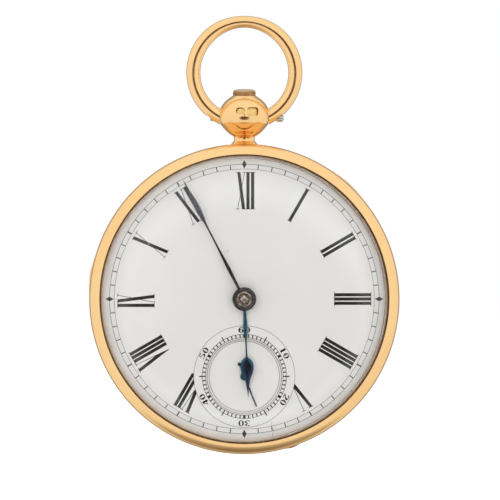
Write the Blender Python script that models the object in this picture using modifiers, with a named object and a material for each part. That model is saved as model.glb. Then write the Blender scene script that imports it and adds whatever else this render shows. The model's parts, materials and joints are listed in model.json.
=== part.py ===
"""Open face pocket watch: gold case with a bow, enamel dial, key-wound three-quarter plate lever movement.

The watch hangs upright from its bow. It is built on a bench frame and then stood up by one empty:
bench +X points to 3 o'clock, +Y to 12 o'clock and +Z out of the dial towards the viewer. In the world the
dial faces -Y, 12 o'clock is up (+Z), and the origin is the inner top of the bow, where a hook would hold it.
"""
import math

import bmesh
import bpy
from mathutils import Matrix, Vector

MM = 0.001                     # every size below is in millimetres

# Case
CASE_R = 24.0                  # bezel and back cover, outside
BAND_R = 23.7                  # the band between them
BORE_R = 22.2                  # bore that takes the dial and the pillar plate
LEDGE_R = 20.6                 # the ledge inside the band, on which the movement rests
SNAP_R = 22.6                  # front snap rim, outside
LIP_R = 22.27                  # inner edge of the bezel's lip
BAND_FRONT = 1.6               # front and back shoulders of the band
BAND_BACK = -4.65
BACK_Z = -7.5                  # flat middle of the back cover
CASE_STEPS = 36
WELD = 0.002                   # points closer than this after a cut are one point

# Pendant, bow and push piece
BOW_Z = -1.8                   # middle plane of the bow, half-way through the band
BOW_Y = 35.12                  # centre of the bow's ring
BOW_R = 7.92                   # middle line of the ring
BOW_FLAT = 0.16                # how much nearer the ring's middle line comes at its ends
BOW_WIRE = 1.1                 # radius of the ring's round section
BOW_WORN = 0.92                # the same at the top, worn thin by the hook
BOW_SEAT = 3.75                # flats on the ball, on which the ring's ends turn
BOW_PIVOT_Y = 28.07            # the bow screw's axis
BALL_SIDE = [(2.05, 31.43), (2.85, 30.82), (3.4, 30.2), (3.8, 29.45), (4.03, 28.6), (4.08, 27.95), (3.91, 27.3),
             (3.35, 26.6), (2.82, 26.0)]      # half width of the ball and height, from its top down
HOOK_Y = BOW_Y + BOW_R - BOW_WORN

# Hinges. A hinge is (direction clockwise from 12 o'clock, radius, level) of its axis. A crown is the rounding to
# which its knuckles are filed: (reach from the watch's middle, radius).
KNUCKLE_R = 0.75
KNUCKLE_END = 4.9
HINGE_GAP = 0.1
PIN_R = 0.25
PIN_BORE_R = 0.33
FRONT_HINGE = (279, 23.45, BAND_FRONT + 0.07)
FRONT_CROWN = (24.17, 12.0)
FRONT_PIN = 2.6                # half the pin's length
BACK_HINGE = (42, 23.54, BAND_BACK - 0.07)
BACK_CROWN = (24.29, 15.2)
BACK_PIN = 3.1

# Movement, levels along Z
PLATE_R = 21.9                 # pillar plate
PLATE_BACK = -1.0
TOP_R = 20.2                   # three-quarter plate
TOP_FRONT = -3.9
TOP_BACK = -4.9
PIVOT_HOLE_R = 0.2

# Dial and hands
DIAL_R = 22.1
SUNK_R = 5.61                  # opening for the sunk seconds dial
MINUTE_LEVEL = 3.15
HOUR_LEVEL = 2.55
SECONDS_LEVEL = 1.95
HAND_THICK = 0.2
MINUTE_AT = -332.8             # where the hands stand, in degrees from 12 o'clock, clockwise negative
HOUR_AT = -177.7
SECONDS_AT = -158.0

# Where the arbors stand, seen from the dial
CENTRE = (0.0, 0.0)
FOURTH = (0.0, -11.946)
THIRD = (2.94, -6.572)
BARREL = (4.5, 7.79)
ESCAPE = (-4.568, -14.076)
PALLET = (-7.594, -11.537)
BALANCE = (-10.462, -7.441)
MINUTE_WORK = (-3.118, 1.8)
PALLET_FOOT = (-11.6, -14.6)
COCK_FOOT = (-16.5, 1.5)
CLICK = (8.82, 6.22)


def polar(radius, degrees, centre=(0.0, 0.0)):
    """The point at a radius and an angle, counter-clockwise from +X."""
    a = math.radians(degrees)
    return (centre[0] + radius * math.cos(a), centre[1] + radius * math.sin(a))


PILLARS = [polar(18.9, a) for a in (100, 20, -60, -118)]
CASE_SCREWS = [polar(19.6, a) for a in (60, -80)]
DIAL_FEET = [polar(17.0, a) for a in (75, 190, -40)]


# ---------------------------------------------------------------- scene, materials and placing

def clear_scene():
    for obj in list(bpy.data.objects):
        bpy.data.objects.remove(obj, do_unlink=True)


def collection(name):
    found = bpy.data.collections.new(name)
    bpy.context.scene.collection.children.link(found)
    return found


def material(name, colour, roughness, metallic, transmission=0.0):
    look = bpy.data.materials.new(name)
    look.use_nodes = True
    shader = look.node_tree.nodes["Principled BSDF"]
    shader.inputs["Base Color"].default_value = (*colour, 1.0)
    shader.inputs["Roughness"].default_value = roughness
    shader.inputs["Metallic"].default_value = metallic
    shader.inputs["Transmission Weight"].default_value = transmission
    look.diffuse_color = (*colour, 1.0)
    return look


clear_scene()
PARTS = collection("open_face_pocket_watch")
CUTTERS = collection("cutters")
GOLD = material("gold", (0.86, 0.58, 0.28), 0.16, 1.0)
ENAMEL = material("enamel", (0.85, 0.84, 0.82), 0.12, 0.0)
GLASS = material("glass", (0.95, 0.97, 0.97), 0.02, 0.0, 1.0)
BLUED = material("blued_steel", (0.02, 0.04, 0.10), 0.2, 1.0)
STEEL = material("steel", (0.55, 0.54, 0.53), 0.22, 1.0)
GILT = material("gilt_brass", (0.78, 0.58, 0.27), 0.35, 1.0)
SPRING = material("spring_steel", (0.10, 0.13, 0.22), 0.28, 1.0)


def empty(name, at=(0, 0, 0), parent=None):
    """An empty at a bench position; a moving body's pieces hang from one on its joint's axis."""
    obj = bpy.data.objects.new(name, None)
    PARTS.objects.link(obj)
    obj["bench"] = tuple(at)
    if parent is not None:
        obj.parent = parent
        obj.location = (Vector(at) - Vector(parent["bench"])) * MM
    return obj


BENCH = empty("bench")
BENCH.rotation_euler = (math.radians(90), 0, 0)
BENCH.location = (0, BOW_Z * MM, -HOOK_Y * MM)


def place(obj, at=(0, 0, 0), parent=BENCH, turn=None):
    """Hang an object from a parent, at a bench position, turned by a matrix or by degrees about Z."""
    obj.parent = parent
    obj.location = (Vector(at) - Vector(parent["bench"])) * MM
    if isinstance(turn, Matrix):
        obj.rotation_euler = turn.to_euler()
    elif turn:
        obj.rotation_euler = (0, 0, math.radians(turn))
    return obj


def solid(name, mesh, look):
    obj = bpy.data.objects.new(name, mesh)
    if look is None:
        CUTTERS.objects.link(obj)
        obj.hide_render = True
        obj.display_type = "WIRE"
    else:
        PARTS.objects.link(obj)
        mesh.materials.append(look)
    return obj


def smooth(obj, degrees=40):
    obj.data.shade_smooth()
    obj.data.set_sharp_from_angle(angle=math.radians(degrees))
    return obj


# ---------------------------------------------------------------- shapes

def turned(name, look, profile, steps=CASE_STEPS):
    """A turned piece about Z. The profile, as (radius, height), runs down its outside and up its inside."""
    mesh = bpy.data.meshes.new(name)
    bm = bmesh.new()
    points = [bm.verts.new((r * MM, 0, z * MM)) for r, z in profile]
    pairs = list(zip(points, points[1:]))
    if profile[0][0] > 0:
        pairs.append((points[-1], points[0]))
    for a, b in pairs:
        bm.edges.new((a, b))
    bm.to_mesh(mesh)
    bm.free()
    obj = solid(name, mesh, look)
    screw = obj.modifiers.new("turn", "SCREW")
    screw.steps = screw.render_steps = steps
    screw.use_merge_vertices = True
    screw.merge_threshold = 1e-7
    screw.use_smooth_shade = look is not None
    return obj


def circle(radius, count=12, centre=(0.0, 0.0)):
    return [polar(radius, 360 * i / count, centre) for i in range(count)]


def flat(name, look, low, high, outline, holes=()):
    """A piece cut from sheet between two heights: a filled 2D curve, made a mesh so that it can be cut."""
    curve = bpy.data.curves.new(name, "CURVE")
    curve.dimensions = "2D"
    curve.fill_mode = "BOTH"
    curve.extrude = (high - low) / 2
    for loop in (outline, *holes):
        spline = curve.splines.new("POLY")
        spline.points.add(len(loop) - 1)
        spline.use_cyclic_u = True
        for point, (x, y) in zip(spline.points, loop):
            point.co = (x, y, 0, 1)
    return solid(name, baked(curve, (low + high) / 2), look)


def baked(curve, lift=0.0):
    """The closed mesh of a curve drawn in millimetres, in metres and raised along Z."""
    guide = bpy.data.objects.new("guide", curve)
    bpy.context.scene.collection.objects.link(guide)
    evaluated = guide.evaluated_get(bpy.context.evaluated_depsgraph_get())
    mesh = bpy.data.meshes.new_from_object(evaluated)
    bpy.data.objects.remove(guide, do_unlink=True)
    mesh.materials.clear()
    bm = bmesh.new()
    bm.from_mesh(mesh)
    bmesh.ops.remove_doubles(bm, verts=bm.verts, dist=0.0005)
    bmesh.ops.dissolve_limit(bm, angle_limit=0.001, verts=bm.verts, edges=bm.edges)
    bmesh.ops.transform(bm, matrix=Matrix.Scale(MM, 4) @ Matrix.Translation((0, 0, lift)), verts=bm.verts)
    bmesh.ops.recalc_face_normals(bm, faces=bm.faces)
    bm.to_mesh(mesh)
    bm.free()
    return mesh


def wire(name, look, points, radius, resolution=2, shares=None):
    """A round wire through points, with closed ends; shares scale its radius at each point."""
    curve = bpy.data.curves.new(name, "CURVE")
    curve.dimensions = "3D"
    curve.bevel_depth = radius
    curve.bevel_resolution = resolution
    curve.use_fill_caps = True
    spline = curve.splines.new("POLY")
    spline.points.add(len(points) - 1)
    for point, at, share in zip(spline.points, points, shares or [1] * len(points)):
        point.co = (*at, 1)
        point.radius = share
    return solid(name, baked(curve), look)


def rod(name, look, radius, start, end, sides=12, parent=BENCH):
    """A straight round bar between two bench points."""
    start, end = Vector(start), Vector(end)
    mesh = bpy.data.meshes.new(name)
    bm = bmesh.new()
    bmesh.ops.create_cone(bm, cap_ends=True, segments=sides, radius1=radius * MM, radius2=radius * MM,
                          depth=(end - start).length * MM)
    bm.to_mesh(mesh)
    bm.free()
    turn = Vector((0, 0, 1)).rotation_difference(end - start).to_matrix()
    return place(solid(name, mesh, look), (start + end) / 2, parent, turn)


def block(name, look, low, high, parent=BENCH, turn=None, about=(0, 0, 0)):
    """A box between two corners; with a turn, the corners are measured from the point about."""
    low, high = Vector(low), Vector(high)
    mesh = bpy.data.meshes.new(name)
    bm = bmesh.new()
    bmesh.ops.create_cube(bm, size=MM)
    bmesh.ops.scale(bm, vec=high - low, verts=bm.verts)
    bmesh.ops.translate(bm, vec=(low + high) / 2 * MM, verts=bm.verts)
    bm.to_mesh(mesh)
    bm.free()
    return place(solid(name, mesh, look), about, parent, turn)


def combine(obj, operation, *others):
    """Cut or join other solids, and weld the hair-thin edges that a cut leaves."""
    for other in others:
        step = obj.modifiers.new(operation.lower(), "BOOLEAN")
        step.operation = operation
        step.solver = "EXACT"
        step.object = other
        weld = obj.modifiers.new("weld", "WELD")
        weld.merge_threshold = WELD * MM
    return obj


def cut(obj, *others):
    return combine(obj, "DIFFERENCE", *others)


def join(obj, *others):
    return combine(obj, "UNION", *others)


# ---------------------------------------------------------------- outlines

def arc(radius, start, end, count, centre=(0.0, 0.0)):
    return [polar(radius, start + (end - start) * i / (count - 1), centre) for i in range(count)]


def ring_part(inner, outer, start, end, count):
    """A flat strip between two radii, as an outline."""
    return arc(outer, start, end, count) + arc(inner, end, start, count)


def gear(teeth, module, turn=0.0):
    """A wheel's outline with slim pointed teeth, one of them centred at an angle in degrees."""
    pitch = 360 / teeth
    tip = module * (teeth / 2 + 0.75)
    root = module * (teeth / 2 - 1.5)
    points = []
    for i in range(teeth):
        points += [polar(root, turn + (i - 0.5) * pitch), polar(tip, turn + i * pitch)]
    return points


def saw_teeth(teeth, root, tip):
    """Slanted teeth, as on a ratchet or an escape wheel."""
    points = []
    for i in range(teeth):
        start = 360 * i / teeth
        points += [polar(root, start), polar(tip, start + 300 / teeth)]
    return points


def crossings(hub, rim, arms=4, arm=0.7, turn=0.0):
    """The openings between a wheel's arms, hub and rim."""
    openings = []
    for i in range(arms):
        start = turn + 360 * i / arms
        end = start + 360 / arms
        inner = math.degrees(math.asin(arm / 2 / hub))
        outer = math.degrees(math.asin(arm / 2 / rim))
        openings.append(arc(rim, start + outer, end - outer, 5) + arc(hub, end - inner, start + inner, 2))
    return openings


def tapered_link(start, end, start_r, end_r, count=8):
    """The outline round two circles, such as a cock's table from its foot to its tip."""
    heading = math.degrees(math.atan2(end[1] - start[1], end[0] - start[0]))
    return (arc(start_r, heading + 90, heading + 270, count, start)
            + arc(end_r, heading - 90, heading + 90, count, end))


def strip(points, width):
    """A band of even width along a line of points, as an outline."""
    sides = ([], [])
    for i, (x, y) in enumerate(points):
        before, after = points[max(i - 1, 0)], points[min(i + 1, len(points) - 1)]
        along = Vector((after[0] - before[0], after[1] - before[1])).normalized()
        for side, sign in zip(sides, (1, -1)):
            side.append((x - sign * along.y * width / 2, y + sign * along.x * width / 2))
    return sides[0] + sides[1][::-1]


def hand_outline(stations):
    """A hand that points along +Y, from (distance, half width) pairs that end at its tip."""
    right = [(half, y) for y, half in stations]
    left = [(-half, y) for y, half in reversed(stations) if half > 0]
    return right + left


def heading(start, end):
    return math.degrees(math.atan2(end[1] - start[1], end[0] - start[0]))


def moved(points, degrees, shift=(0.0, 0.0)):
    """An outline turned about its origin and then shifted."""
    c, s = math.cos(math.radians(degrees)), math.sin(math.radians(degrees))
    return [(x * c - y * s + shift[0], x * s + y * c + shift[1]) for x, y in points]


# ---------------------------------------------------------------- hinges

def hinge_point(hinge, along, out=0.0, lift=0.0):
    """A point near a hinge's axis, by distance along it, outward from the watch's centre and along Z."""
    degrees, radius, level = hinge
    a = math.radians(degrees)
    radial, tangent = Vector((math.sin(a), math.cos(a), 0)), Vector((math.cos(a), -math.sin(a), 0))
    return radial * (radius + out) + tangent * along + Vector((0, 0, level + lift))


def knuckle(name, hinge, crown, start, end, parent):
    """A length of hinge tube with its outside filed to the crown."""
    reach, rounding = crown
    tube = rod(name, None, KNUCKLE_R, hinge_point(hinge, start), hinge_point(hinge, end), 12, parent)
    middle = hinge_point(hinge, 0, reach - rounding - hinge[1])
    half = Vector((0, 0, 4 * KNUCKLE_R))
    return combine(tube, "INTERSECT", rod(f"{name}_crown", None, rounding, middle - half, middle + half, 96, parent))


def hinge_joint(hinge, crown, pin_half, owners, knuckles):
    """Cut room for the knuckles out of every owner, then join each owner's own knuckles and bore them.

    owners maps a name to (object, parent); knuckles lists (owner's name, start, end) along the axis.
    """
    for name, (obj, parent) in owners.items():
        rooms = []
        for other, start, end in knuckles:
            if other != name and rooms and start - rooms[-1][1] < 3 * HINGE_GAP:
                rooms[-1][1] = end
            elif other != name:
                rooms.append([start, end])
        for start, end in rooms:
            cut(obj, rod(f"room_{name}_{start}", None, KNUCKLE_R + HINGE_GAP,
                         hinge_point(hinge, start - HINGE_GAP), hinge_point(hinge, end + HINGE_GAP), 12, parent))
        for other, start, end in knuckles:
            if other == name:
                join(obj, knuckle(f"knuckle_{name}_{start}", hinge, crown, start, end, parent))
        bore_half = pin_half + HINGE_GAP / 2
        cut(obj, rod(f"pin_bore_{name}", None, PIN_BORE_R, hinge_point(hinge, -bore_half),
                     hinge_point(hinge, bore_half), 8, parent))


def hinge_pin(name, hinge, half):
    return smooth(rod(name, STEEL, PIN_R, hinge_point(hinge, -half), hinge_point(hinge, half), 8))


# ---------------------------------------------------------------- case

def case_band():
    profile = [(BORE_R, 2.6), (SNAP_R, 2.6), (SNAP_R, BAND_FRONT), (BAND_R, BAND_FRONT),
               (BAND_R + 0.05, BAND_FRONT / 2 + BAND_BACK / 2), (BAND_R, BAND_BACK), (23.1, BAND_BACK),
               (23.0, -5.4), (22.45, -5.4), (22.45, -4.85), (LEDGE_R, -4.85), (LEDGE_R, -1.15), (BORE_R, -1.15)]
    band = place(turned("case_band", GOLD, profile))
    cut(band, rod("push_pin_way", None, 0.5, (0, 19, BOW_Z), (0, 26, BOW_Z), 12))
    turn = Matrix.Rotation(math.radians(-BACK_HINGE[0]), 3, "Z")
    cut(band, block("cuvette_arm_way", None, (-1.2, 21.9, -7), (1.2, 26, BAND_BACK + 0.01), turn=turn))
    return band


def bezel(parent):
    profile = [(LIP_R, 4.14), (22.6, 4.08), (22.95, 3.93), (23.5, 3.52), (23.85, 2.95), (CASE_R, 2.35),
               (CASE_R, 1.75), (22.75, 1.75), (22.75, 2.75), (22.45, 2.85), (22.45, 3.1), (23.0, 3.15), (23.0, 3.6),
               (LIP_R, 3.75)]
    obj = place(turned("bezel", GOLD, profile), parent=parent)
    lip = place(flat("bezel_lip", None, 1.85, 2.25, ring_part(23.5, CASE_R + 0.2, -75, -69, 5)), parent=parent)
    return join(obj, lip)


def crystal(parent):
    outer = [(0, 6.0), (10, 5.87), (16, 5.42), (19.5, 4.8), (22.1, 3.64), (22.9, 3.5)]
    inner = [(22.9, 3.22), (21.9, 3.2), (19.5, 4.1), (16, 4.72), (10, 5.17), (0, 5.3)]
    return place(turned("crystal", GLASS, outer + inner), parent=parent)


def back_cover(parent):
    inside = [(0, -7.0), (9, -7.0), (16.5, -6.8), (21, -6.4), (22.9, -5.8), (23.3, BAND_BACK - 0.1)]
    outside = [(CASE_R, BAND_BACK - 0.1), (23.95, -5.3), (23.3, -6.2), (21.5, -6.85), (17, -7.3), (9, BACK_Z),
               (0, BACK_Z)]
    obj = place(turned("back_cover", GOLD, inside + outside), parent=parent)
    lip = place(flat("back_lip", None, -5.35, -4.95, ring_part(23.6, CASE_R + 0.2, 207, 213, 5)), parent=parent)
    return join(obj, lip)


def cuvette(parent):
    profile = [(0, -6.1), (10, -6.02), (17, -5.75), (21.1, -5.42), (21.3, -4.95), (22.25, -4.95),
               (22.25, -5.35), (17, -6.15), (10, -6.42), (0, -6.5)]
    obj = place(turned("cuvette", GOLD, profile), parent=parent)
    turn = Matrix.Rotation(math.radians(-BACK_HINGE[0]), 3, "Z")
    arm = block("cuvette_arm", None, (-0.9, 21.7, -5.32), (0.9, 23.5, -5.0), parent=parent, turn=turn)
    hole = rod("winding_hole", None, 1.7, (*BARREL, -4), (*BARREL, -9), 24, parent)
    join(obj, arm)
    return cut(obj, hole)


def case():
    front_pivot = empty("front_hinge_axis", hinge_point(FRONT_HINGE, 0), BENCH)
    back_pivot = empty("back_hinge_axis", hinge_point(BACK_HINGE, 0), BENCH)
    band = case_band()
    ring = bezel(front_pivot)
    crystal(front_pivot)
    back = back_cover(back_pivot)
    dome = cuvette(back_pivot)
    hinge_joint(FRONT_HINGE, FRONT_CROWN, FRONT_PIN, {"band": (band, BENCH), "bezel": (ring, front_pivot)},
                [("band", -KNUCKLE_END, -1.3), ("bezel", -1.2, 1.2), ("band", 1.3, KNUCKLE_END)])
    hinge_joint(BACK_HINGE, BACK_CROWN, BACK_PIN,
                {"band": (band, BENCH), "back": (back, back_pivot), "cuvette": (dome, back_pivot)},
                [("band", -KNUCKLE_END, -2.3), ("back", -2.2, -1.1), ("cuvette", -1.0, 1.0), ("back", 1.1, 2.2),
                 ("band", 2.3, KNUCKLE_END)])
    hinge_pin("front_hinge_pin", FRONT_HINGE, FRONT_PIN)
    hinge_pin("back_hinge_pin", BACK_HINGE, BACK_PIN)


def pendant():
    """The ball, its neck and its foot on the band, bored for the push piece and the bow screw."""
    upright = Matrix.Rotation(math.radians(-90), 3, "X")
    neck = [(2.3, 25.55), (2.02, 25.37), (1.75, 25.2), (1.63, 24.95), (1.64, 24.65), (1.84, 24.29), (2.05, 24.05),
            (2.1, 23.82)]
    inside = [(0.5, 23.82), (0.5, 26.35), (1.4, 26.35), (1.4, 29.5), (1.84, 29.5)]
    outside = [(1.84, 31.52), (1.95, 31.5)] + BALL_SIDE + neck
    obj = place(turned("pendant", GOLD, outside + inside, 20), (0, 0, BOW_Z), turn=upright)
    for side in (-1, 1):
        low, high = sorted((side * BOW_SEAT, side * 6.0))
        cut(obj, block(f"bow_flat_{side}", None, (low, 26, BOW_Z - 3), (high, 31, BOW_Z + 3)))
    return cut(obj, rod("bow_screw_way", None, 0.55, (-7, BOW_PIVOT_Y, BOW_Z), (7, BOW_PIVOT_Y, BOW_Z)))


def bow():
    """The ring, open at the bottom, where its ends turn on the bow screw against the ball's flats."""
    first, count = 24, 37
    ring, shares = [], []
    for i in range(count):
        a = math.radians(first + (360 - 2 * first) * i / (count - 1))
        r = BOW_R - BOW_FLAT * max(0.0, math.cos(a)) ** 2
        worn = max(0.0, -math.cos(a)) ** 8
        ring.append((r * math.sin(a), -r * math.cos(a), 0))
        shares.append(1 + (BOW_WORN / BOW_WIRE - 1) * worn)
    obj = smooth(place(wire("bow", GOLD, ring, BOW_WIRE, shares=shares), (0, BOW_Y, BOW_Z)))
    gap = BOW_SEAT + 0.05
    cut(obj, block("bow_gap", None, (-gap, 25, BOW_Z - 2), (gap, 31, BOW_Z + 2)))
    cut(obj, rod("bow_screw_bore", None, 0.55, (-9, BOW_PIVOT_Y, BOW_Z), (9, BOW_PIVOT_Y, BOW_Z)))
    return cut(obj, rod("bow_head_seat", None, 0.7, (5.0, BOW_PIVOT_Y, BOW_Z), (9, BOW_PIVOT_Y, BOW_Z), 16))


def bow_screw():
    sideways = Matrix.Rotation(math.radians(90), 3, "Y")
    profile = [(0, 6.12), (0.35, 6.05), (0.6, 5.75), (0.6, 5.1), (0.45, 5.1), (0.45, -5.2), (0.3, -5.33), (0, -5.33)]
    return place(turned("bow_screw", STEEL, profile, 12), (0, BOW_PIVOT_Y, BOW_Z), turn=sideways)


def push_piece():
    """The button in the top of the ball. A slot lets its stem pass the bow screw."""
    upright = Matrix.Rotation(math.radians(-90), 3, "X")
    profile = [(0, 32.57), (1.4, 32.57), (1.76, 32.25), (1.76, 30.4), (1.3, 30.4), (1.3, 27.2), (0.4, 27.2),
               (0.4, 21.15), (0, 21.15)]
    obj = place(turned("push_piece", STEEL, profile, 16), (0, 0, BOW_Z), turn=upright)
    return cut(obj, block("push_slot", None, (-3, BOW_PIVOT_Y - 0.57, BOW_Z - 0.57),
                          (3, BOW_PIVOT_Y + 1.37, BOW_Z + 0.57)))


def lock_spring():
    return place(flat("lock_spring", SPRING, -2.6, -1.3, ring_part(19.85, 20.2, 84, 128, 12)))


# ---------------------------------------------------------------- dial and hands

def dial():
    profile = [(1.4, 2.3), (14, 2.2), (DIAL_R - 0.15, 2.0), (DIAL_R, 1.25), (1.4, 1.25)]
    obj = place(turned("dial", ENAMEL, profile))
    cut(obj, rod("sunk_opening", None, SUNK_R, (*FOURTH, 0.5), (*FOURTH, 3), 32))
    for i, (x, y) in enumerate(DIAL_FEET):
        join(obj, rod(f"dial_foot_{i}", None, 0.3, (x, y, -0.85), (x, y, 1.5), 8))
    return obj


def seconds_dial():
    return place(turned("seconds_dial", ENAMEL, [(0.5, 1.75), (5.5, 1.75), (5.5, 1.3), (0.5, 1.3)], 28),
                 (*FOURTH, 0))


def minute_hand():
    stations = [(1.2, 0.2), (3.5, 0.235), (5.2, 0.275), (6.5, 0.23), (8.0, 0.17), (9.5, 0.135), (12.7, 0.145),
                (14.3, 0.32), (15.3, 0.42), (16.2, 0.42), (17.4, 0.33), (18.6, 0.2), (20.0, 0.08), (20.5, 0)]
    boss = turned("minute_hand", BLUED, [(0.8, 3.75), (1.55, 3.75), (1.83, 3.55), (1.83, MINUTE_LEVEL),
                                         (0.8, MINUTE_LEVEL)], 20)
    place(boss, turn=MINUTE_AT)
    return join(boss, place(flat("minute_blade", None, MINUTE_LEVEL, MINUTE_LEVEL + HAND_THICK,
                                 hand_outline(stations)), turn=MINUTE_AT))


def hour_hand():
    stations = [(1.4, 0.22), (2.5, 0.25), (4.5, 0.345), (5.3, 0.28), (6.2, 0.14), (9.0, 0.14), (9.45, 0.7),
                (10.4, 1.035), (11.3, 0.88), (12.3, 0.45), (13.5, 0.2), (15.3, 0)]
    hub = place(turned("hour_hand", BLUED, [(1.22, HOUR_LEVEL + 0.3), (1.7, HOUR_LEVEL + 0.3), (1.7, HOUR_LEVEL),
                                            (1.22, HOUR_LEVEL)], 20), turn=HOUR_AT)
    return join(hub, place(flat("hour_blade", None, HOUR_LEVEL + 0.02, HOUR_LEVEL + HAND_THICK,
                                hand_outline(stations)), turn=HOUR_AT))


def seconds_hand():
    blade = [(0.16, 0.4), (0.08, 4.9), (0, 5.05), (-0.08, 4.9), (-0.16, 0.4), (-0.12, -0.4), (-0.08, -1.8),
             (-0.27, -2.1), (-0.14, -2.35), (0.14, -2.35), (0.27, -2.1), (0.08, -1.8), (0.12, -0.4)]
    hub = place(turned("seconds_hand", BLUED, [(0.26, 2.2), (0.65, 2.2), (0.65, 1.9), (0.26, 1.9)], 12),
                (*FOURTH, 0), turn=SECONDS_AT)
    join(hub, place(flat("seconds_blade", None, SECONDS_LEVEL, 2.1, blade), (*FOURTH, 0), turn=SECONDS_AT))
    return cut(hub, rod("seconds_bore", None, 0.26, (*FOURTH, 0), (*FOURTH, 4)))


# ---------------------------------------------------------------- motion works

def cannon_pinion():
    teeth = place(flat("cannon_pinion", STEEL, 0.05, 0.55, gear(12, 0.15, heading(CENTRE, MINUTE_WORK))))
    pipe = rod("cannon_pipe", None, 0.74, (0, 0, 0.3), (0, 0, 3.7), 14)
    return cut(join(teeth, pipe), rod("cannon_bore", None, 0.5, (0, 0, -1), (0, 0, 5), 14))


def hour_wheel():
    pitch = 360 / 40
    teeth = place(flat("hour_wheel", GILT, 0.65, 0.95,
                       gear(40, 0.144, heading(CENTRE, MINUTE_WORK) + pitch / 2)))
    pipe = rod("hour_pipe", None, 1.14, (0, 0, 0.75), (0, 0, 2.8), 16)
    return cut(join(teeth, pipe), rod("hour_bore", None, 0.88, (0, 0, -1), (0, 0, 5), 16))


def minute_wheel():
    """The wheel and pinion that turn the hour wheel from the cannon pinion, on one arbor."""
    back = heading(MINUTE_WORK, CENTRE)
    wheel = flat("minute_wheel", GILT, 0.1, 0.4, gear(36, 0.15, back + 180 / 36))
    pinion = flat("minute_pinion", None, 0.3, 1.05, gear(10, 0.144, back))
    arbor = rod("minute_arbor", None, 0.22, (*MINUTE_WORK, -0.85), (*MINUTE_WORK, 1.15), 10)
    return join(place(wheel, (*MINUTE_WORK, 0)), place(pinion, (*MINUTE_WORK, 0)), arbor)


# ---------------------------------------------------------------- frame of the movement

def pillar_plate():
    small = [(0.35, FOURTH), (0.3, BALANCE), (0.3, MINUTE_WORK), (0.45, COCK_FOOT), (0.4, PALLET_FOOT)]
    small += [(PIVOT_HOLE_R, at) for at in (THIRD, ESCAPE, PALLET)] + [(0.4, foot) for foot in DIAL_FEET]
    holes = [circle(0.55), circle(0.6, 12, BARREL)] + [circle(radius, 8, at) for radius, at in small]
    return place(flat("pillar_plate", GILT, PLATE_BACK, 0, circle(PLATE_R, CASE_STEPS), holes))


def three_quarter_plate():
    """The plate over barrel and train, cut away for the balance and its cock."""
    outline = arc(TOP_R, -126, 150, 32) + [(-12.6, 4.6)] + arc(7.0, 65, -75, 12, BALANCE)
    holes = [circle(0.36), circle(0.78, 12, BARREL)]
    holes += [circle(PIVOT_HOLE_R, 8, at) for at in (THIRD, FOURTH, ESCAPE)]
    holes += [circle(0.36, 8, at) for at in [CLICK] + PILLARS + CASE_SCREWS]
    return place(flat("three_quarter_plate", GILT, TOP_BACK, TOP_FRONT, outline, holes))


def screw(name, at, top, head_r, head_depth, shank_r, length):
    """A cheese-headed screw driven from the back: top is the level of its head's outer face."""
    seat = top + head_depth
    profile = [(0, seat + length), (shank_r, seat + length), (shank_r, seat), (head_r, seat), (head_r, top + 0.06),
               (head_r - 0.06, top), (0, top)]
    obj = place(turned(name, SPRING, profile, 8), (*at, 0))
    slot = block(f"{name}_slot", None, (at[0] - 2, at[1] - 0.09, top - 0.5), (at[0] + 2, at[1] + 0.09, top + 0.1))
    return cut(obj, slot)


def pillars():
    for i, at in enumerate(PILLARS, 1):
        profile = [(0, -1.06), (0.8, -1.06), (0.6, -1.7), (0.6, -3.2), (0.8, -3.84), (0.4, -3.84), (0.4, -2.8),
                   (0, -2.8)]
        place(turned(f"pillar_{i}", GILT, profile, 10), (*at, 0))
        screw(f"plate_screw_{i}", at, -5.2, 0.8, 0.24, 0.3, 1.9)


def cocks():
    """The balance cock on its foot, the index on it, and the small cock over the pallet arbor."""
    table = place(flat("balance_cock", GILT, -4.9, -4.3, tapered_link(COCK_FOOT, BALANCE, 2.2, 1.5),
                       [circle(0.3, 10, BALANCE)]))
    foot = rod("cock_foot", None, 1.9, (*COCK_FOOT, -4.5), (*COCK_FOOT, -1.06), 20)
    cut(join(table, foot), rod("cock_screw_way", None, 0.45, (*COCK_FOOT, -6), (*COCK_FOOT, 0), 10))
    screw("cock_screw", COCK_FOOT, -5.2, 0.9, 0.24, 0.35, 4.4)
    bar = place(flat("pallet_cock", GILT, -2.85, -2.45, tapered_link(PALLET_FOOT, PALLET, 1.0, 0.7),
                     [circle(0.2, 10, PALLET)]))
    foot = rod("pallet_cock_foot", None, 0.9, (*PALLET_FOOT, -2.6), (*PALLET_FOOT, -1.06), 16)
    cut(join(bar, foot), rod("pallet_screw_way", None, 0.4, (*PALLET_FOOT, -4), (*PALLET_FOOT, 0), 10))
    screw("pallet_cock_screw", PALLET_FOOT, -3.1, 0.6, 0.2, 0.3, 2.3)
    tail = heading(BALANCE, CENTRE) + 12
    pointer = [polar(5.2, tail - 1.5), polar(5.6, tail), polar(5.2, tail + 1.5)]
    place(flat("regulator", STEEL, -5.15, -4.95, arc(1.3, tail + 20, tail + 340, 20) + pointer, [circle(0.75, 16)]),
          (*BALANCE, 0))


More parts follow.
